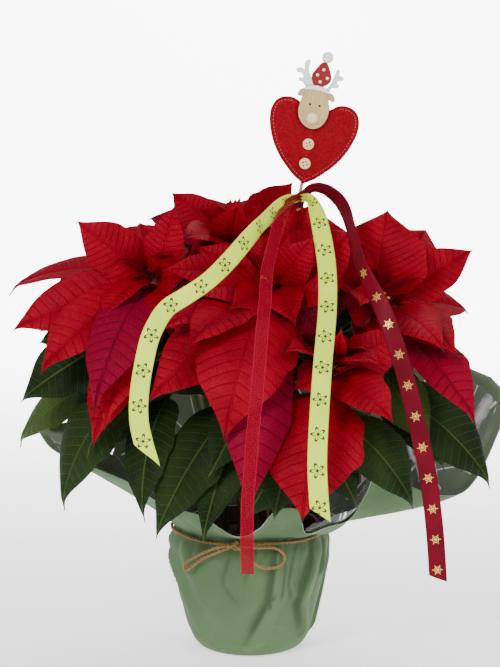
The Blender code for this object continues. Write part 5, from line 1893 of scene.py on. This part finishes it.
# %% [markdown]
# The reindeer is cut from a thin board and painted: plain wood for the face and ears, white for the
# antlers, the hat's brim and its bobble, and red with white dots for the hat. The cut edges are
# brown from the cutting. Each part is an outline through a few points, drawn smooth, extruded to
# the board's thickness and bevelled. The bevel is brown too, as the heat marks the rim.

# %% Materials: wood and paint
grain_group, grain_in, grain_out = group_tree("wood_grain", {"Scale": 1.0}, ("Mask", "Height"))
upright = {"Vector": on_object(grain_group), "Scale": (1.0, 1.0, 0.14)}
stretched = node(grain_group, "Mapping", upright, vector_type="POINT").outputs["Vector"]
streak = node(grain_group, "VectorMath", {0: stretched, "Scale": grain_in.outputs["Scale"]},
              operation="SCALE").outputs["Vector"]
grain_lines = noise(grain_group, 520.0, 5.0, streak)
grain_mask = ramp(grain_group, grain_lines, 0.35, 0.68)
wire(grain_group, grain_out, Mask=grain_mask, Height=grain_lines)


def wood_material(name, light, dark, roughness):
    made, tree, shader = finish(name, light, roughness, Specular_IOR_Level=0.35)
    lines = placed_group(tree, grain_group, Scale=1.0)
    patch = blend(tree, ramp(tree, noise(tree, 130.0), 0.3, 0.7), light,
                  tuple(0.86 * part for part in light))
    rough = ramp(tree, lines["Mask"], 0.0, 1.0, roughness - 0.05, roughness + 0.08)
    wire(tree, shader, Base_Color=blend(tree, lines["Mask"], patch, dark), Roughness=rough,
         Normal=bumped(tree, lines["Height"], 0.0003, 0.6))
    return made


def paint_material(name, colour, worn, roughness):
    made, tree, shader = finish(name, colour, roughness, Specular_IOR_Level=0.4)
    scuff = ramp(tree, noise(tree, 420.0, 4.0), 0.58, 0.8)
    wire(tree, shader, Base_Color=blend(tree, scuff, colour, worn),
         Normal=bumped(tree, noise(tree, 800.0, 3.0), 0.0002, 0.5))
    return made


face_wood = wood_material("face_wood", (0.60, 0.42, 0.19), (0.50, 0.33, 0.14), 0.6)
bead_wood = wood_material("bead_wood", (0.95, 0.80, 0.42), (0.88, 0.70, 0.34), 0.45)
button_wood = wood_material("button_wood", (0.95, 0.66, 0.34), (0.88, 0.57, 0.27), 0.5)
stick_wood = wood_material("stick_wood", (0.50, 0.34, 0.18), (0.36, 0.22, 0.10), 0.65)
burnt_edge = wood_material("burnt_edge", (0.12, 0.065, 0.045), (0.05, 0.028, 0.02), 0.8)
white_paint = paint_material("white_paint", (0.86, 0.87, 0.85), (0.72, 0.72, 0.70), 0.5)
hat_paint = paint_material("hat_paint", (0.22, 0.0006, 0.002), (0.17, 0.0006, 0.002), 0.6)
eye_paint = paint_material("eye_paint", (0.012, 0.009, 0.008), (0.03, 0.02, 0.015), 0.4)
print("wood and paint: 8 materials")

# %% Outlines of the reindeer's boards
HEAD = (
    (-0.9, 51.4), (6.9, 55.4), (10.9, 63.3), (11.3, 71.8), (9.4, 78.8), (7.4, 84.9), (2.2, 86.9),
    (-5.4, 87.1), (-12.3, 84.6), (-15.2, 78.2), (-16.3, 70.7), (-16.4, 65.1), (-14.0, 59.0),
    (-8.9, 53.7),
)
LEFT_EAR = (
    (-11.2, 82.2), (-14.3, 79.7), (-17.7, 79.0), (-19.4, 80.5), (-18.4, 83.9), (-15.8, 86.3),
    (-12.2, 86.0),
)
RIGHT_EAR = (
    (6.4, 84.6), (9.9, 86.0), (13.0, 84.4), (14.9, 80.2), (13.0, 78.4), (10.2, 79.6), (7.4, 80.0),
)
BRIM = (
    (-13.9, 85.0), (-13.4, 88.5), (-8.8, 90.5), (-2.3, 91.0), (4.5, 89.8), (9.0, 87.5),
    (8.1, 84.6), (2.3, 86.0), (-4.4, 86.4), (-9.9, 85.7),
)
HAT = (
    (-6.6, 90.6), (-9.8, 98.6), (-6.9, 105.5), (-2.3, 111.8), (2.4, 111.6), (5.9, 105.9),
    (8.3, 99.1), (6.9, 94.0), (1.4, 90.0), (-3.1, 89.9),
)
LEFT_ANTLER = (
    (-12.9, 88.4), (-16.8, 92.0), (-20.1, 92.4), (-20.4, 95.2), (-16.7, 95.8), (-19.1, 99.6),
    (-23.3, 100.0), (-23.5, 103.0), (-19.8, 104.3), (-17.2, 103.4), (-17.5, 109.7), (-15.1, 112.2),
    (-12.7, 110.7), (-13.4, 105.2), (-12.0, 100.8), (-8.8, 95.4), (-5.6, 90.4),
)
RIGHT_ANTLER = (
    (5.4, 89.0), (8.5, 93.6), (9.7, 98.3), (11.0, 103.2), (11.8, 107.5), (14.2, 107.6),
    (15.0, 103.1), (18.4, 101.9), (19.2, 99.2), (15.1, 98.1), (13.7, 96.0), (16.1, 94.0),
    (15.1, 91.5), (11.2, 91.0), (9.4, 89.6), (8.0, 87.0),
)
BOBBLE = (1.7, 116.9)
HAT_DOTS = ((0.1, 105.6), (-4.7, 100.2), (4.5, 98.6), (-1.3, 94.5))
EYES = ((-6.7, 73.2), (2.1, 73.2))
NOSE = (-2.6, 61.2)
BUTTONS = ((-1.7, 37.7), (-1.7, 19.9))
print("antlers:", len(LEFT_ANTLER), "and", len(RIGHT_ANTLER), "points")

# %% The boards of the reindeer
BOARD_BACK = -(HEART_THICK / 2 + GAP)
WOOD, WHITE, BURNT, RED, BLACK = range(5)


def closed_path(points, steps=4):
    """A smooth closed outline through the given points."""
    made = []
    count = len(points)
    for index in range(count):
        a, b, c, d = (Vector(points[(index + shift) % count]) for shift in (-1, 0, 1, 2))
        made += [curve_value(a, b, c, d, step / steps) for step in range(steps)]
    return made


def add_board(bm, outline, behind, before, index, edge_index=BURNT, bevel=0.4):
    """A flat board between two heights above the heart's face, its cut edge in its own material."""
    back, front = BOARD_BACK - behind, BOARD_BACK - before
    ring = bmesh.ops.create_circle(bm, segments=len(outline), radius=1.0, cap_ends=True)["verts"]
    ring.sort(key=lambda vert: math.atan2(vert.co.y, vert.co.x))
    for vert, spot in zip(ring, outline):
        vert.co = Vector((spot.x, back, spot.y))
    face = ring[0].link_faces[0]
    face.material_index = index
    grown = bmesh.ops.extrude_face_region(bm, geom=[face], use_keep_orig=True)["geom"]
    top = [part for part in grown if isinstance(part, bmesh.types.BMVert)]
    bmesh.ops.translate(bm, vec=(0, front - back, 0), verts=top)
    faces = {part for vert in top for part in vert.link_faces} | {face}
    for part in faces:
        part.material_index = index if len(part.verts) > 4 else edge_index
    bm.normal_update()
    front_face = max((part for part in grown if isinstance(part, bmesh.types.BMFace)),
                     key=lambda part: len(part.verts))
    bevelled = bmesh.ops.bevel(bm, geom=list(front_face.edges), offset=bevel, segments=1,
                               profile=0.5, affect="EDGES", material=-1, clamp_overlap=True)
    for part in bevelled["faces"]:
        part.material_index = edge_index
    verts = set(ring) | set(top) | set(bevelled["verts"])
    verts = [vert for vert in verts if vert.is_valid]
    faces = list({part for vert in verts for part in vert.link_faces})
    large = [part for part in faces if len(part.verts) > 4]
    bm.normal_update()
    bmesh.ops.triangulate(bm, faces=large, ngon_method="EAR_CLIP")
    faces = list({part for vert in verts for part in vert.link_faces})
    bmesh.ops.recalc_face_normals(bm, faces=faces)
    for vert in verts:
        vert.co = on_heart(vert.co.x, vert.co.z, vert.co.y)


def round_outline(middle, radius, count):
    return [Vector((middle[0] + radius * math.cos(math.tau * k / count),
                    middle[1] + radius * math.sin(math.tau * k / count))) for k in range(count)]


def make_reindeer():
    bm = bmesh.new()
    boards = (
        (closed_path(LEFT_ANTLER), 0.3, 2.2, WHITE), (closed_path(RIGHT_ANTLER), 0.3, 2.2, WHITE),
        (closed_path(LEFT_EAR), 0.1, 2.5, WOOD), (closed_path(RIGHT_EAR), 0.1, 2.5, WOOD),
        (closed_path(HAT), 0.2, 2.6, RED), (round_outline(BOBBLE, 5.1, 28), 0.1, 2.8, WHITE),
        (closed_path(HEAD), 0.0, 2.7, WOOD), (closed_path(BRIM), 0.4, 2.95, WHITE),
    )
    for board in boards:
        add_board(bm, *board)
    for dot in HAT_DOTS:
        add_board(bm, round_outline(dot, 1.35, 14), 2.3, 2.72, WHITE, WHITE, 0.08)
    for eye in EYES:
        add_board(bm, round_outline(eye, 1.1, 12), 2.4, 2.85, BLACK, BLACK, 0.12)
    made = dressed("fine_reindeer", bm, (face_wood, white_paint, burnt_edge, hat_paint, eye_paint),
                   ("reindeer",), smooth=False)
    print("reindeer faces:", len(made.data.polygons))


make_reindeer()

# %% [markdown]
# The nose is a turned wooden bead with a flat back: one outline swept round an axis, as on a
# lathe. The buttons are turned too, with a raised rim, a hollow middle and four holes for the
# thread. Each is a square grid pressed into a round one, so the holes can be pushed in from its
# cells.

# %% The nose
NOSE_R = 5.4


def make_nose(sides=32):
    """The bead, from a profile of (radius, height) that starts at the middle of its flat back."""
    bm = bmesh.new()
    dome = [(NOSE_R * math.cos(math.radians(a)), 0.6 + 4.0 * math.sin(math.radians(a)))
            for a in range(0, 91, 9)]
    profile = [(0.0, 0.0), (NOSE_R * 0.9, 0.0), (NOSE_R, 0.2), *dome]

    def place(row, column):
        angle = math.tau * (column % sides) / sides
        radius, height = profile[row]
        return on_heart(NOSE[0] + radius * math.cos(angle), NOSE[1] + radius * math.sin(angle),
                        BOARD_BACK - 2.7 - height)

    close_seams(bm, mapped_grid(bm, len(profile) - 1, sides, place))
    bmesh.ops.recalc_face_normals(bm, faces=bm.faces)
    dressed("fine_nose", bm, (bead_wood,), ("reindeer_nose",))


make_nose()

# %% The buttons
BUTTON_R = 5.1
BUTTON_THICK = 1.9
BUTTON_CELLS = 7
HOLES = ((2, 2), (2, 4), (4, 2), (4, 4))
HOLES_TURN = math.radians(24)
HOLE_FLOOR = 0.35
# The floors of the holes are a near-black olive, darker than the wood round them.
hole_dark = mottled("dark_hole_floor", (0.012, 0.014, 0.004), (0.035, 0.04, 0.008), 900.0, 0.8)


def button_height(radius):
    """The height of a button's face above its back at a distance from its middle."""
    rim = rise_to(radius, 0.60 * BUTTON_R, 0.74 * BUTTON_R)
    edge = 1 - rise_to(radius, 0.90 * BUTTON_R, BUTTON_R)
    return (BUTTON_THICK - 0.8 + 0.8 * rim) * (0.55 + 0.45 * edge)


def make_button(name, middle, node_name):
    bm = bmesh.new()

    def place(row, column):
        a, b = 2 * row / BUTTON_CELLS - 1, 2 * column / BUTTON_CELLS - 1
        spot = Vector((a * math.sqrt(1 - b * b / 2), b * math.sqrt(1 - a * a / 2))) * BUTTON_R
        spot.rotate(Matrix.Rotation(HOLES_TURN, 2))
        return Vector((spot.x, spot.y, button_height(spot.length)))

    where = mapped_grid(bm, BUTTON_CELLS, BUTTON_CELLS, place)
    middles = {tuple(sorted(where[vert] for vert in face.verts))[0]: face for face in bm.faces}
    holes = [middles[cell] for cell in HOLES]
    bmesh.ops.inset_individual(bm, faces=holes, thickness=0.04, depth=0.0)
    pushed = bmesh.ops.extrude_discrete_faces(bm, faces=holes)["faces"]
    for face in pushed:
        face.material_index = 1
        for vert in face.verts:
            vert.co.z = HOLE_FLOOR
    rim = [edge for edge in bm.edges if edge.is_boundary]
    wall = bmesh.ops.extrude_edge_only(bm, edges=rim)["geom"]
    for part in wall:
        if isinstance(part, bmesh.types.BMVert):
            part.co.z = 0.0
    bmesh.ops.holes_fill(bm, edges=[edge for edge in bm.edges if edge.is_boundary], sides=0)
    print(name, "open edges left:", sum(edge.is_boundary for edge in bm.edges))
    bmesh.ops.recalc_face_normals(bm, faces=bm.faces)
    for vert in bm.verts:
        vert.co = on_heart(middle[0] + vert.co.x, middle[1] + vert.co.y, BOARD_BACK - vert.co.z)
    bmesh.ops.recalc_face_normals(bm, faces=bm.faces)
    dressed(name, bm, (button_wood, hole_dark), (node_name,))


make_button("fine_button_upper", BUTTONS[0], "button_upper")
make_button("fine_button_lower", BUTTONS[1], "button_lower")

# %% The stick


def make_stick():
    bm = bmesh.new()
    path = [STICK_FOOT.lerp(STICK_BEND, step / 12) for step in range(13)]
    path += [STICK_BEND.lerp(STICK_TOP, step / 3) for step in range(1, 4)]
    add_tube(bm, path, [STICK_R] * len(path), sides=14)
    dressed("fine_stick", bm, (stick_wood,), ("pick_stick",))


make_stick()
print("stick:", round((STICK_BEND - STICK_FOOT).length + (STICK_TOP - STICK_BEND).length), "mm")

# %% [markdown]
# A ribbon is cut to length from a roll, so its width is the same all along, and where it is
# pulled through the knot it gathers into folds. Its ends are cut straight or aslant. Each point of
# the fine strip keeps how far along and across the ribbon it lies, in millimetres, and the weave
# and the printed motif follow those two numbers.

# %% The fine routes of the ribbons
FINE_LIME = (
    (-80, -170, 184, 0, 16), (-83, -170, 206, 0, 16), (-88, -172, 225, 5, 16),
    (-92, -172, 246, 5, 16), (-91, -172, 272, 10, 16), (-85, -168, 305, 15, 16),
    (-79, -164, 322, 15, 16), (-69, -158, 337, 15, 16), (-53, -152, 347, 15, 16),
    (-36, -145, 358, 20, 16), (-19, -130, 373, 20, 16), (0, -105, 393, 25, 16),
    (12, -80, 404, 30, 15), (30, -40, 418, 10, 11),
) + LIME_PATH[12:]
FINE_SATIN = (
    (42, -10.2, 421, 0, 6), (49, -10.3, 424, 0, 7), (57, -12, 430, 0, 8), (68, -20, 429, 15, 10),
    (79, -35, 421, 30, 13), (85, -50, 411, 45, 15), (88, -66, 400, 56, 15), (91, -86, 385, 58, 15),
    (95, -102, 368, 50, 15), (103, -115, 352, 30, 15), (112, -130, 334, 10, 15),
    (121, -141, 310, 0, 15), (131, -147, 277, 0, 15),
) + SATIN_PATH[11:]
FINE_ROUTES = {"ribbon_sheer": SHEER_PATH, "ribbon_lime": FINE_LIME, "ribbon_satin": FINE_SATIN}
CUTS_BY_RIBBON = {"ribbon_lime": ((21, 44), (13, 0)), "ribbon_sheer": ((0, 0), (0, 0)),
                  "ribbon_satin": ((0, 0), (7, 0))}
print("points on the fine routes:", {name: len(path) for name, path in FINE_ROUTES.items()})

# %% A strip of ribbon
RIBBON_COLUMNS = 10
RIBBON_THICK = 0.35
RIBBON_STEPS = 8
ROW_LENGTH = 2.2
GATHER_DEPTH = 2.2
SWAY = 0.35


def ribbon_frame(path):
    """Both edges of a ribbon along its length, with the distance along at each step."""
    edges = ribbon_grid(path, RIBBON_STEPS)
    middles = [(a + b) / 2 for a, b in edges]
    distances = [0.0]
    for a, b in zip(middles, middles[1:]):
        distances.append(distances[-1] + (b - a).length)
    return edges, distances


def at_distance(edges, distances, distance):
    """The two edge points at a distance along a ribbon, and the way that its face looks."""
    index = 0
    while index < len(distances) - 2 and distances[index + 1] < distance:
        index += 1
    share = (distance - distances[index]) / (distances[index + 1] - distances[index])
    left = edges[index][0].lerp(edges[index + 1][0], share)
    right = edges[index][1].lerp(edges[index + 1][1], share)
    along = (edges[index + 1][0] + edges[index + 1][1]) - (edges[index][0] + edges[index][1])
    return left, right, (right - left).cross(along).normalized()


def ribbon_piece(name, finishes, full, crown, thick=RIBBON_THICK):
    """A fine strip of ribbon along its route, with its cut ends."""
    edges, distances = ribbon_frame(FINE_ROUTES[name])
    length = distances[-1]
    rows = round(length / ROW_LENGTH)
    start, end = CUTS_BY_RIBBON[name]
    places = {}

    def place(row, column):
        v = 2 * column / RIBBON_COLUMNS - 1
        begin = start[0] + (start[1] - start[0]) * (0.5 - 0.5 * v)
        stop = length - end[0] - (end[1] - end[0]) * (0.5 - 0.5 * v)
        distance = begin + (stop - begin) * row / rows
        left, right, out = at_distance(edges, distances, distance)
        width = (right - left).length
        pinch = max(0.0, 1 - width / full)
        lift = crown * (1 - v * v) + pinch * GATHER_DEPTH * math.sin(2.5 * math.pi * v)
        lift += SWAY * math.sin(distance / 17) * v
        places[row, column] = (distance, v * full / 2)
        return left.lerp(right, 0.5 + 0.5 * v) + out * lift

    bm = bmesh.new()
    along, across = (bm.verts.layers.float.new(key) for key in ("along_mm", "across_mm"))
    where = mapped_grid(bm, rows, RIBBON_COLUMNS, place)
    for vert, spot in where.items():
        vert[along], vert[across] = places[spot]
    made = dressed(name.replace("ribbon", "band"), bm, finishes, (name,))
    thicken(made, thick)
    print(name, "length:", round(length), "mm")


# %% [markdown]
# Satin is smooth across and very finely ribbed along, and reflects in soft streaks. The wine-red
# ribbon carries small gold stars with six arms and the lime one the outline of a dark green
# flower. Both motifs are drawn with arithmetic on the ribbon's two numbers: the distance along is
# folded into one repeat, and the angle about its middle gives the arms or the petals.

# %% Node group: a motif's polar place
polar, polar_in, polar_out = group_tree("motif_place", {"Repeat": 26.0}, ("Radius", "Angle", "Ribs"))
half = times(polar, polar_in.outputs["Repeat"], 0.5)
along_mm = attribute(polar, "along_mm")
across_mm = attribute(polar, "across_mm")
folded = calc(polar, "FLOORED_MODULO", along_mm, polar_in.outputs["Repeat"])
near = calc(polar, "SUBTRACT", folded, half)
squares = calc(polar, "ADD", times(polar, near, near), times(polar, across_mm, across_mm))
wire(polar, polar_out, Radius=calc(polar, "SQRT", squares),
     Angle=calc(polar, "ARCTAN2", near, across_mm),
     Ribs=calc(polar, "SINE", times(polar, along_mm, 9.0)))

# %% Material: wine satin with gold stars
WINE = (0.145, 0.0001, 0.0105)
WINE_DEEP = (0.095, 0.0001, 0.0070)
GOLD = (0.80, 0.50, 0.12)
GOLD_TOP = 0.365


def below(tree, value, limit, soft):
    """1 where a value is below a limit, 0 above it, with a soft edge."""
    return ramp(tree, value, limit - soft, limit + soft, 1.0, 0.0)


def satin_material():
    made, tree, shader = finish("wine_satin", WINE, 0.5, Specular_IOR_Level=0.1)
    place = placed_group(tree, polar, Repeat=27.0)
    wave = calc(tree, "ABSOLUTE", calc(tree, "SINE", times(tree, place["Angle"], 3.0)))
    off_arm = times(tree, wave, place["Radius"])
    arms = times(tree, below(tree, off_arm, 0.9, 0.25), below(tree, place["Radius"], 4.6, 0.2))
    ring_off = calc(tree, "ABSOLUTE", calc(tree, "SUBTRACT", place["Radius"], 2.6))
    ring = below(tree, ring_off, 0.28, 0.15)
    height = node(tree, "SeparateXYZ", {"Vector": on_object(tree)}).outputs["Z"]
    gold = times(tree, calc(tree, "MAXIMUM", arms, ring), below(tree, height, GOLD_TOP, 0.002))
    cloth = blend(tree, ramp(tree, noise(tree, 35.0), 0.3, 0.7), WINE, WINE_DEEP)
    weave = calc(tree, "ADD", times(tree, place["Ribs"], 0.12), noise(tree, 1800.0, 1.0))
    wire(tree, shader, Base_Color=blend(tree, gold, cloth, GOLD),
         Metallic=times(tree, gold, 0.7),
         Roughness=ramp(tree, gold, 0.0, 1.0, 0.5, 0.32),
         Normal=bumped(tree, weave, 0.00015, 0.6))
    return made


wine_satin = satin_material()

# %% Material: lime satin with green flowers
LIME = (0.76, 0.96, 0.05)
LIME_DEEP = (0.66, 0.86, 0.042)
PRINT_GREEN = (0.012, 0.045, 0.012)


def lime_material():
    made, tree, shader = finish("lime_satin", LIME, 0.5, Specular_IOR_Level=0.25)
    place = placed_group(tree, polar, Repeat=30.0)
    wave = calc(tree, "ABSOLUTE", calc(tree, "COSINE", times(tree, place["Angle"], 2.5)))
    reach = times(tree, wave, 6.6)
    petals = below(tree, calc(tree, "SUBTRACT", place["Radius"], reach), 0.0, 0.35)
    inner = calc(tree, "SUBTRACT", reach, 1.9)
    hollow = below(tree, calc(tree, "SUBTRACT", place["Radius"], inner), 0.0, 0.3)
    outline = calc(tree, "SUBTRACT", petals, hollow)
    middle = below(tree, place["Radius"], 1.3, 0.2)
    print_mask = calc(tree, "MAXIMUM", outline, middle)
    cloth = blend(tree, ramp(tree, noise(tree, 30.0), 0.3, 0.7), LIME, LIME_DEEP)
    weave = calc(tree, "ADD", times(tree, place["Ribs"], 0.12), noise(tree, 1800.0, 1.0))
    wire(tree, shader, Base_Color=blend(tree, print_mask, cloth, PRINT_GREEN),
         Roughness=ramp(tree, noise(tree, 50.0), 0.2, 0.8, 0.36, 0.5),
         Normal=bumped(tree, weave, 0.00015, 0.6))
    return made


lime_satin = lime_material()

# %% [markdown]
# Organza is a stiff net of very fine threads. What lies behind it shows through, and the selvedge
# along both edges is denser. The alpha of the material is the share that the threads cover, higher
# at the edges and along single thicker threads.

# %% Material: red organza


def organza_material():
    made, tree, shader = finish("red_organza", (0.27, 0.0006, 0.015), 0.6, Specular_IOR_Level=0.08)
    side = calc(tree, "ABSOLUTE", attribute(tree, "across_mm"))
    selvedge = ramp(tree, side, 4.5, 5.1)
    threads = calc(tree, "SINE", times(tree, attribute(tree, "across_mm"), 3.4))
    cover = calc(tree, "ADD", 0.62, times(tree, threads, 0.05))
    alpha = calc(tree, "MAXIMUM", cover, times(tree, selvedge, 0.8))
    wire(tree, shader, Alpha=alpha,
         Base_Color=blend(tree, selvedge, (0.27, 0.0006, 0.015), (0.42, 0.006, 0.03)),
         Normal=bumped(tree, threads, 0.0001, 0.5))
    return made


red_organza = organza_material()

# %% The three ribbons
ribbon_piece("ribbon_satin", (wine_satin,), full=15.0, crown=0.7)
ribbon_piece("ribbon_lime", (lime_satin,), full=16.0, crown=0.7)
ribbon_piece("ribbon_sheer", (red_organza,), full=11.0, crown=0.3, thick=0.12)

# %% [markdown]
# The ribbons are tied below the heart with a turn of wine ribbon, pulled tight, so it has folds all
# round. A tube with ridges, thicker in its middle, gives that gathered cloth.

# %% The ribbon knot


def make_knot():
    bm = bmesh.new()
    path = [KNOT_LOW.lerp(KNOT_TOP, step / 10) for step in range(11)]
    radii = [KNOT_R * (0.72 + 0.26 * math.sin(math.pi * (0.12 + 0.76 * step / 10)))
             * (1 + 0.05 * math.sin(step * 2.4)) for step in range(11)]
    add_tube(bm, path, radii, sides=28, flute=0.09)
    along, across = (bm.verts.layers.float.new(key) for key in ("along_mm", "across_mm"))
    for vert in bm.verts:
        vert[along], vert[across] = 40.0 + vert.co.z % 7, 6.5
    dressed("fine_knot", bm, (wine_satin,), ("ribbon_knot",))


make_knot()

# %% [markdown]
# The twine is two thin strands of jute twisted round each other. Each strand is its own tube on a
# winding path about the twine's route, and a noise on its colour and relief gives the loose fibres.
# One length goes round the neck of the wrap, and one makes the bow: two loops through a knot.

# %% Material: jute
jute, jute_tree, jute_shader = finish("jute", (0.26, 0.145, 0.052), 0.9, Sheen_Weight=0.05,
                                      Specular_IOR_Level=0.2)
hair = noise(jute_tree, 1500.0, 4.0)
wire(jute_tree, jute_shader,
     Base_Color=blend(jute_tree, ramp(jute_tree, hair, 0.3, 0.7), (0.16, 0.082, 0.026),
                      (0.38, 0.225, 0.085)),
     Normal=bumped(jute_tree, hair, 0.0006))

# %% The twine
TWINE_RING = 73.7
TWINE_LEVEL = TIE_HEIGHT - 4
TWINE_KNOT = Vector((-13, -75.5, TWINE_LEVEL))
RIGHT_LOOP = ((-13, -75.5, 113), (4, -80, 112), (22, -78, 111), (31, -75, 103), (27, -76, 94),
              (12, -79, 93), (-2, -78, 102), (-13, -75.5, 113))
LEFT_LOOP = ((-13, -75.5, 113), (-28, -75, 107), (-43, -67, 98), (-54, -60, 88), (-58, -57, 84),
             (-60, -56, 90), (-48, -67, 101), (-30, -77, 111), (-13, -75.5, 113))
STRAND_R = 0.86
STRAND_OFF = 0.7
TWIST = 8.5


def even_path(points, step):
    """The path again with points at an even distance."""
    made = [points[0]]
    left = step
    for a, b in zip(points, points[1:]):
        span = (b - a).length
        while span > left:
            a = a.lerp(b, left / span)
            span = (b - a).length
            made.append(a)
            left = step
        left -= span
    return [*made, points[-1]]


def add_twine(bm, route, step=1.1):
    """Two strands twisted about a route, whose length in millimetres is returned."""
    path = even_path(route, step)
    for ply in range(2):
        strand = []
        for index, (point, first, second) in enumerate(path_frames(path)):
            angle = math.tau * index * step / TWIST + math.pi * ply
            strand.append(point + (first * math.cos(angle) + second * math.sin(angle)) * STRAND_OFF)
        radii = [STRAND_R * (1 + 0.1 * math.sin(1.7 * index + ply)) for index in range(len(strand))]
        add_tube(bm, strand, radii, sides=7)
    return sum((b - a).length for a, b in zip(path, path[1:]))


def make_twine():
    bm = bmesh.new()
    wobble = [0.35 * math.sin(math.radians(5 * turn)) for turn in range(0, 361, 3)]
    ring = [around(turn - 10, TWINE_RING, TWINE_LEVEL + 2.2 * wobble[turn // 3])
            for turn in range(0, 361, 3)]
    total = add_twine(bm, ring)
    for loop in (RIGHT_LOOP, LEFT_LOOP):
        total += add_twine(bm, smooth_path([Vector(point) for point in loop], 8))
    turn = []
    for step in range(31):
        angle = math.tau * step / 30
        turn.append(TWINE_KNOT + Vector((2.6 * math.sin(angle), -1.2 - 1.6 * math.cos(2 * angle),
                                         3.0 * math.cos(angle))))
    total += add_twine(bm, turn)
    cross = [TWINE_KNOT + Vector((-3.4 + 0.34 * step, -2.4 - 0.9 * math.sin(0.31 * step * 0.5),
                                  2.2 * math.sin(0.31 * step))) for step in range(21)]
    total += add_twine(bm, cross)
    made = dressed("fine_twine", bm, (jute,), ("twine_tie",))
    print("twine:", round(total), "mm,", len(made.data.polygons), "faces")


make_twine()

# %% [markdown]
# The pot and the soil are nearly hidden. Their solids have the right shape, so they stay and take a
# finish: brown moulded plastic, slightly rough, and dark peat with pale specks.

# %% Materials: pot and soil
pot_brown, pot_tree, pot_shader = finish("pot_plastic", (0.11, 0.034, 0.016), 0.5)
wire(pot_tree, pot_shader,
     Base_Color=blend(pot_tree, noise(pot_tree, 40.0), (0.09, 0.027, 0.012), (0.12, 0.038, 0.018)),
     Roughness=ramp(pot_tree, noise(pot_tree, 200.0), 0.3, 0.7, 0.45, 0.6),
     Normal=bumped(pot_tree, noise(pot_tree, 900.0, 2.0), 0.0002, 0.5))
peat, peat_tree, peat_shader = finish("peat", (0.018, 0.010, 0.006), 0.95, Specular_IOR_Level=0.2)
crumb = noise(peat_tree, 260.0, 6.0)
specks = ramp(peat_tree, noise(peat_tree, 420.0, 2.0), 0.68, 0.74)
wire(peat_tree, peat_shader,
     Base_Color=blend(peat_tree, specks, blend(peat_tree, crumb, (0.010, 0.006, 0.004),
                                               (0.045, 0.026, 0.015)), (0.30, 0.26, 0.20)),
     Normal=bumped(peat_tree, crumb, 0.004))


def refinish(name, finish_made):
    """Gives a solid that stays a new material in every slot."""
    for slot in bpy.data.objects[name].material_slots:
        slot.material = finish_made


refinish("pot", pot_brown)
refinish("soil", peat)
print("kept solids: pot, soil")
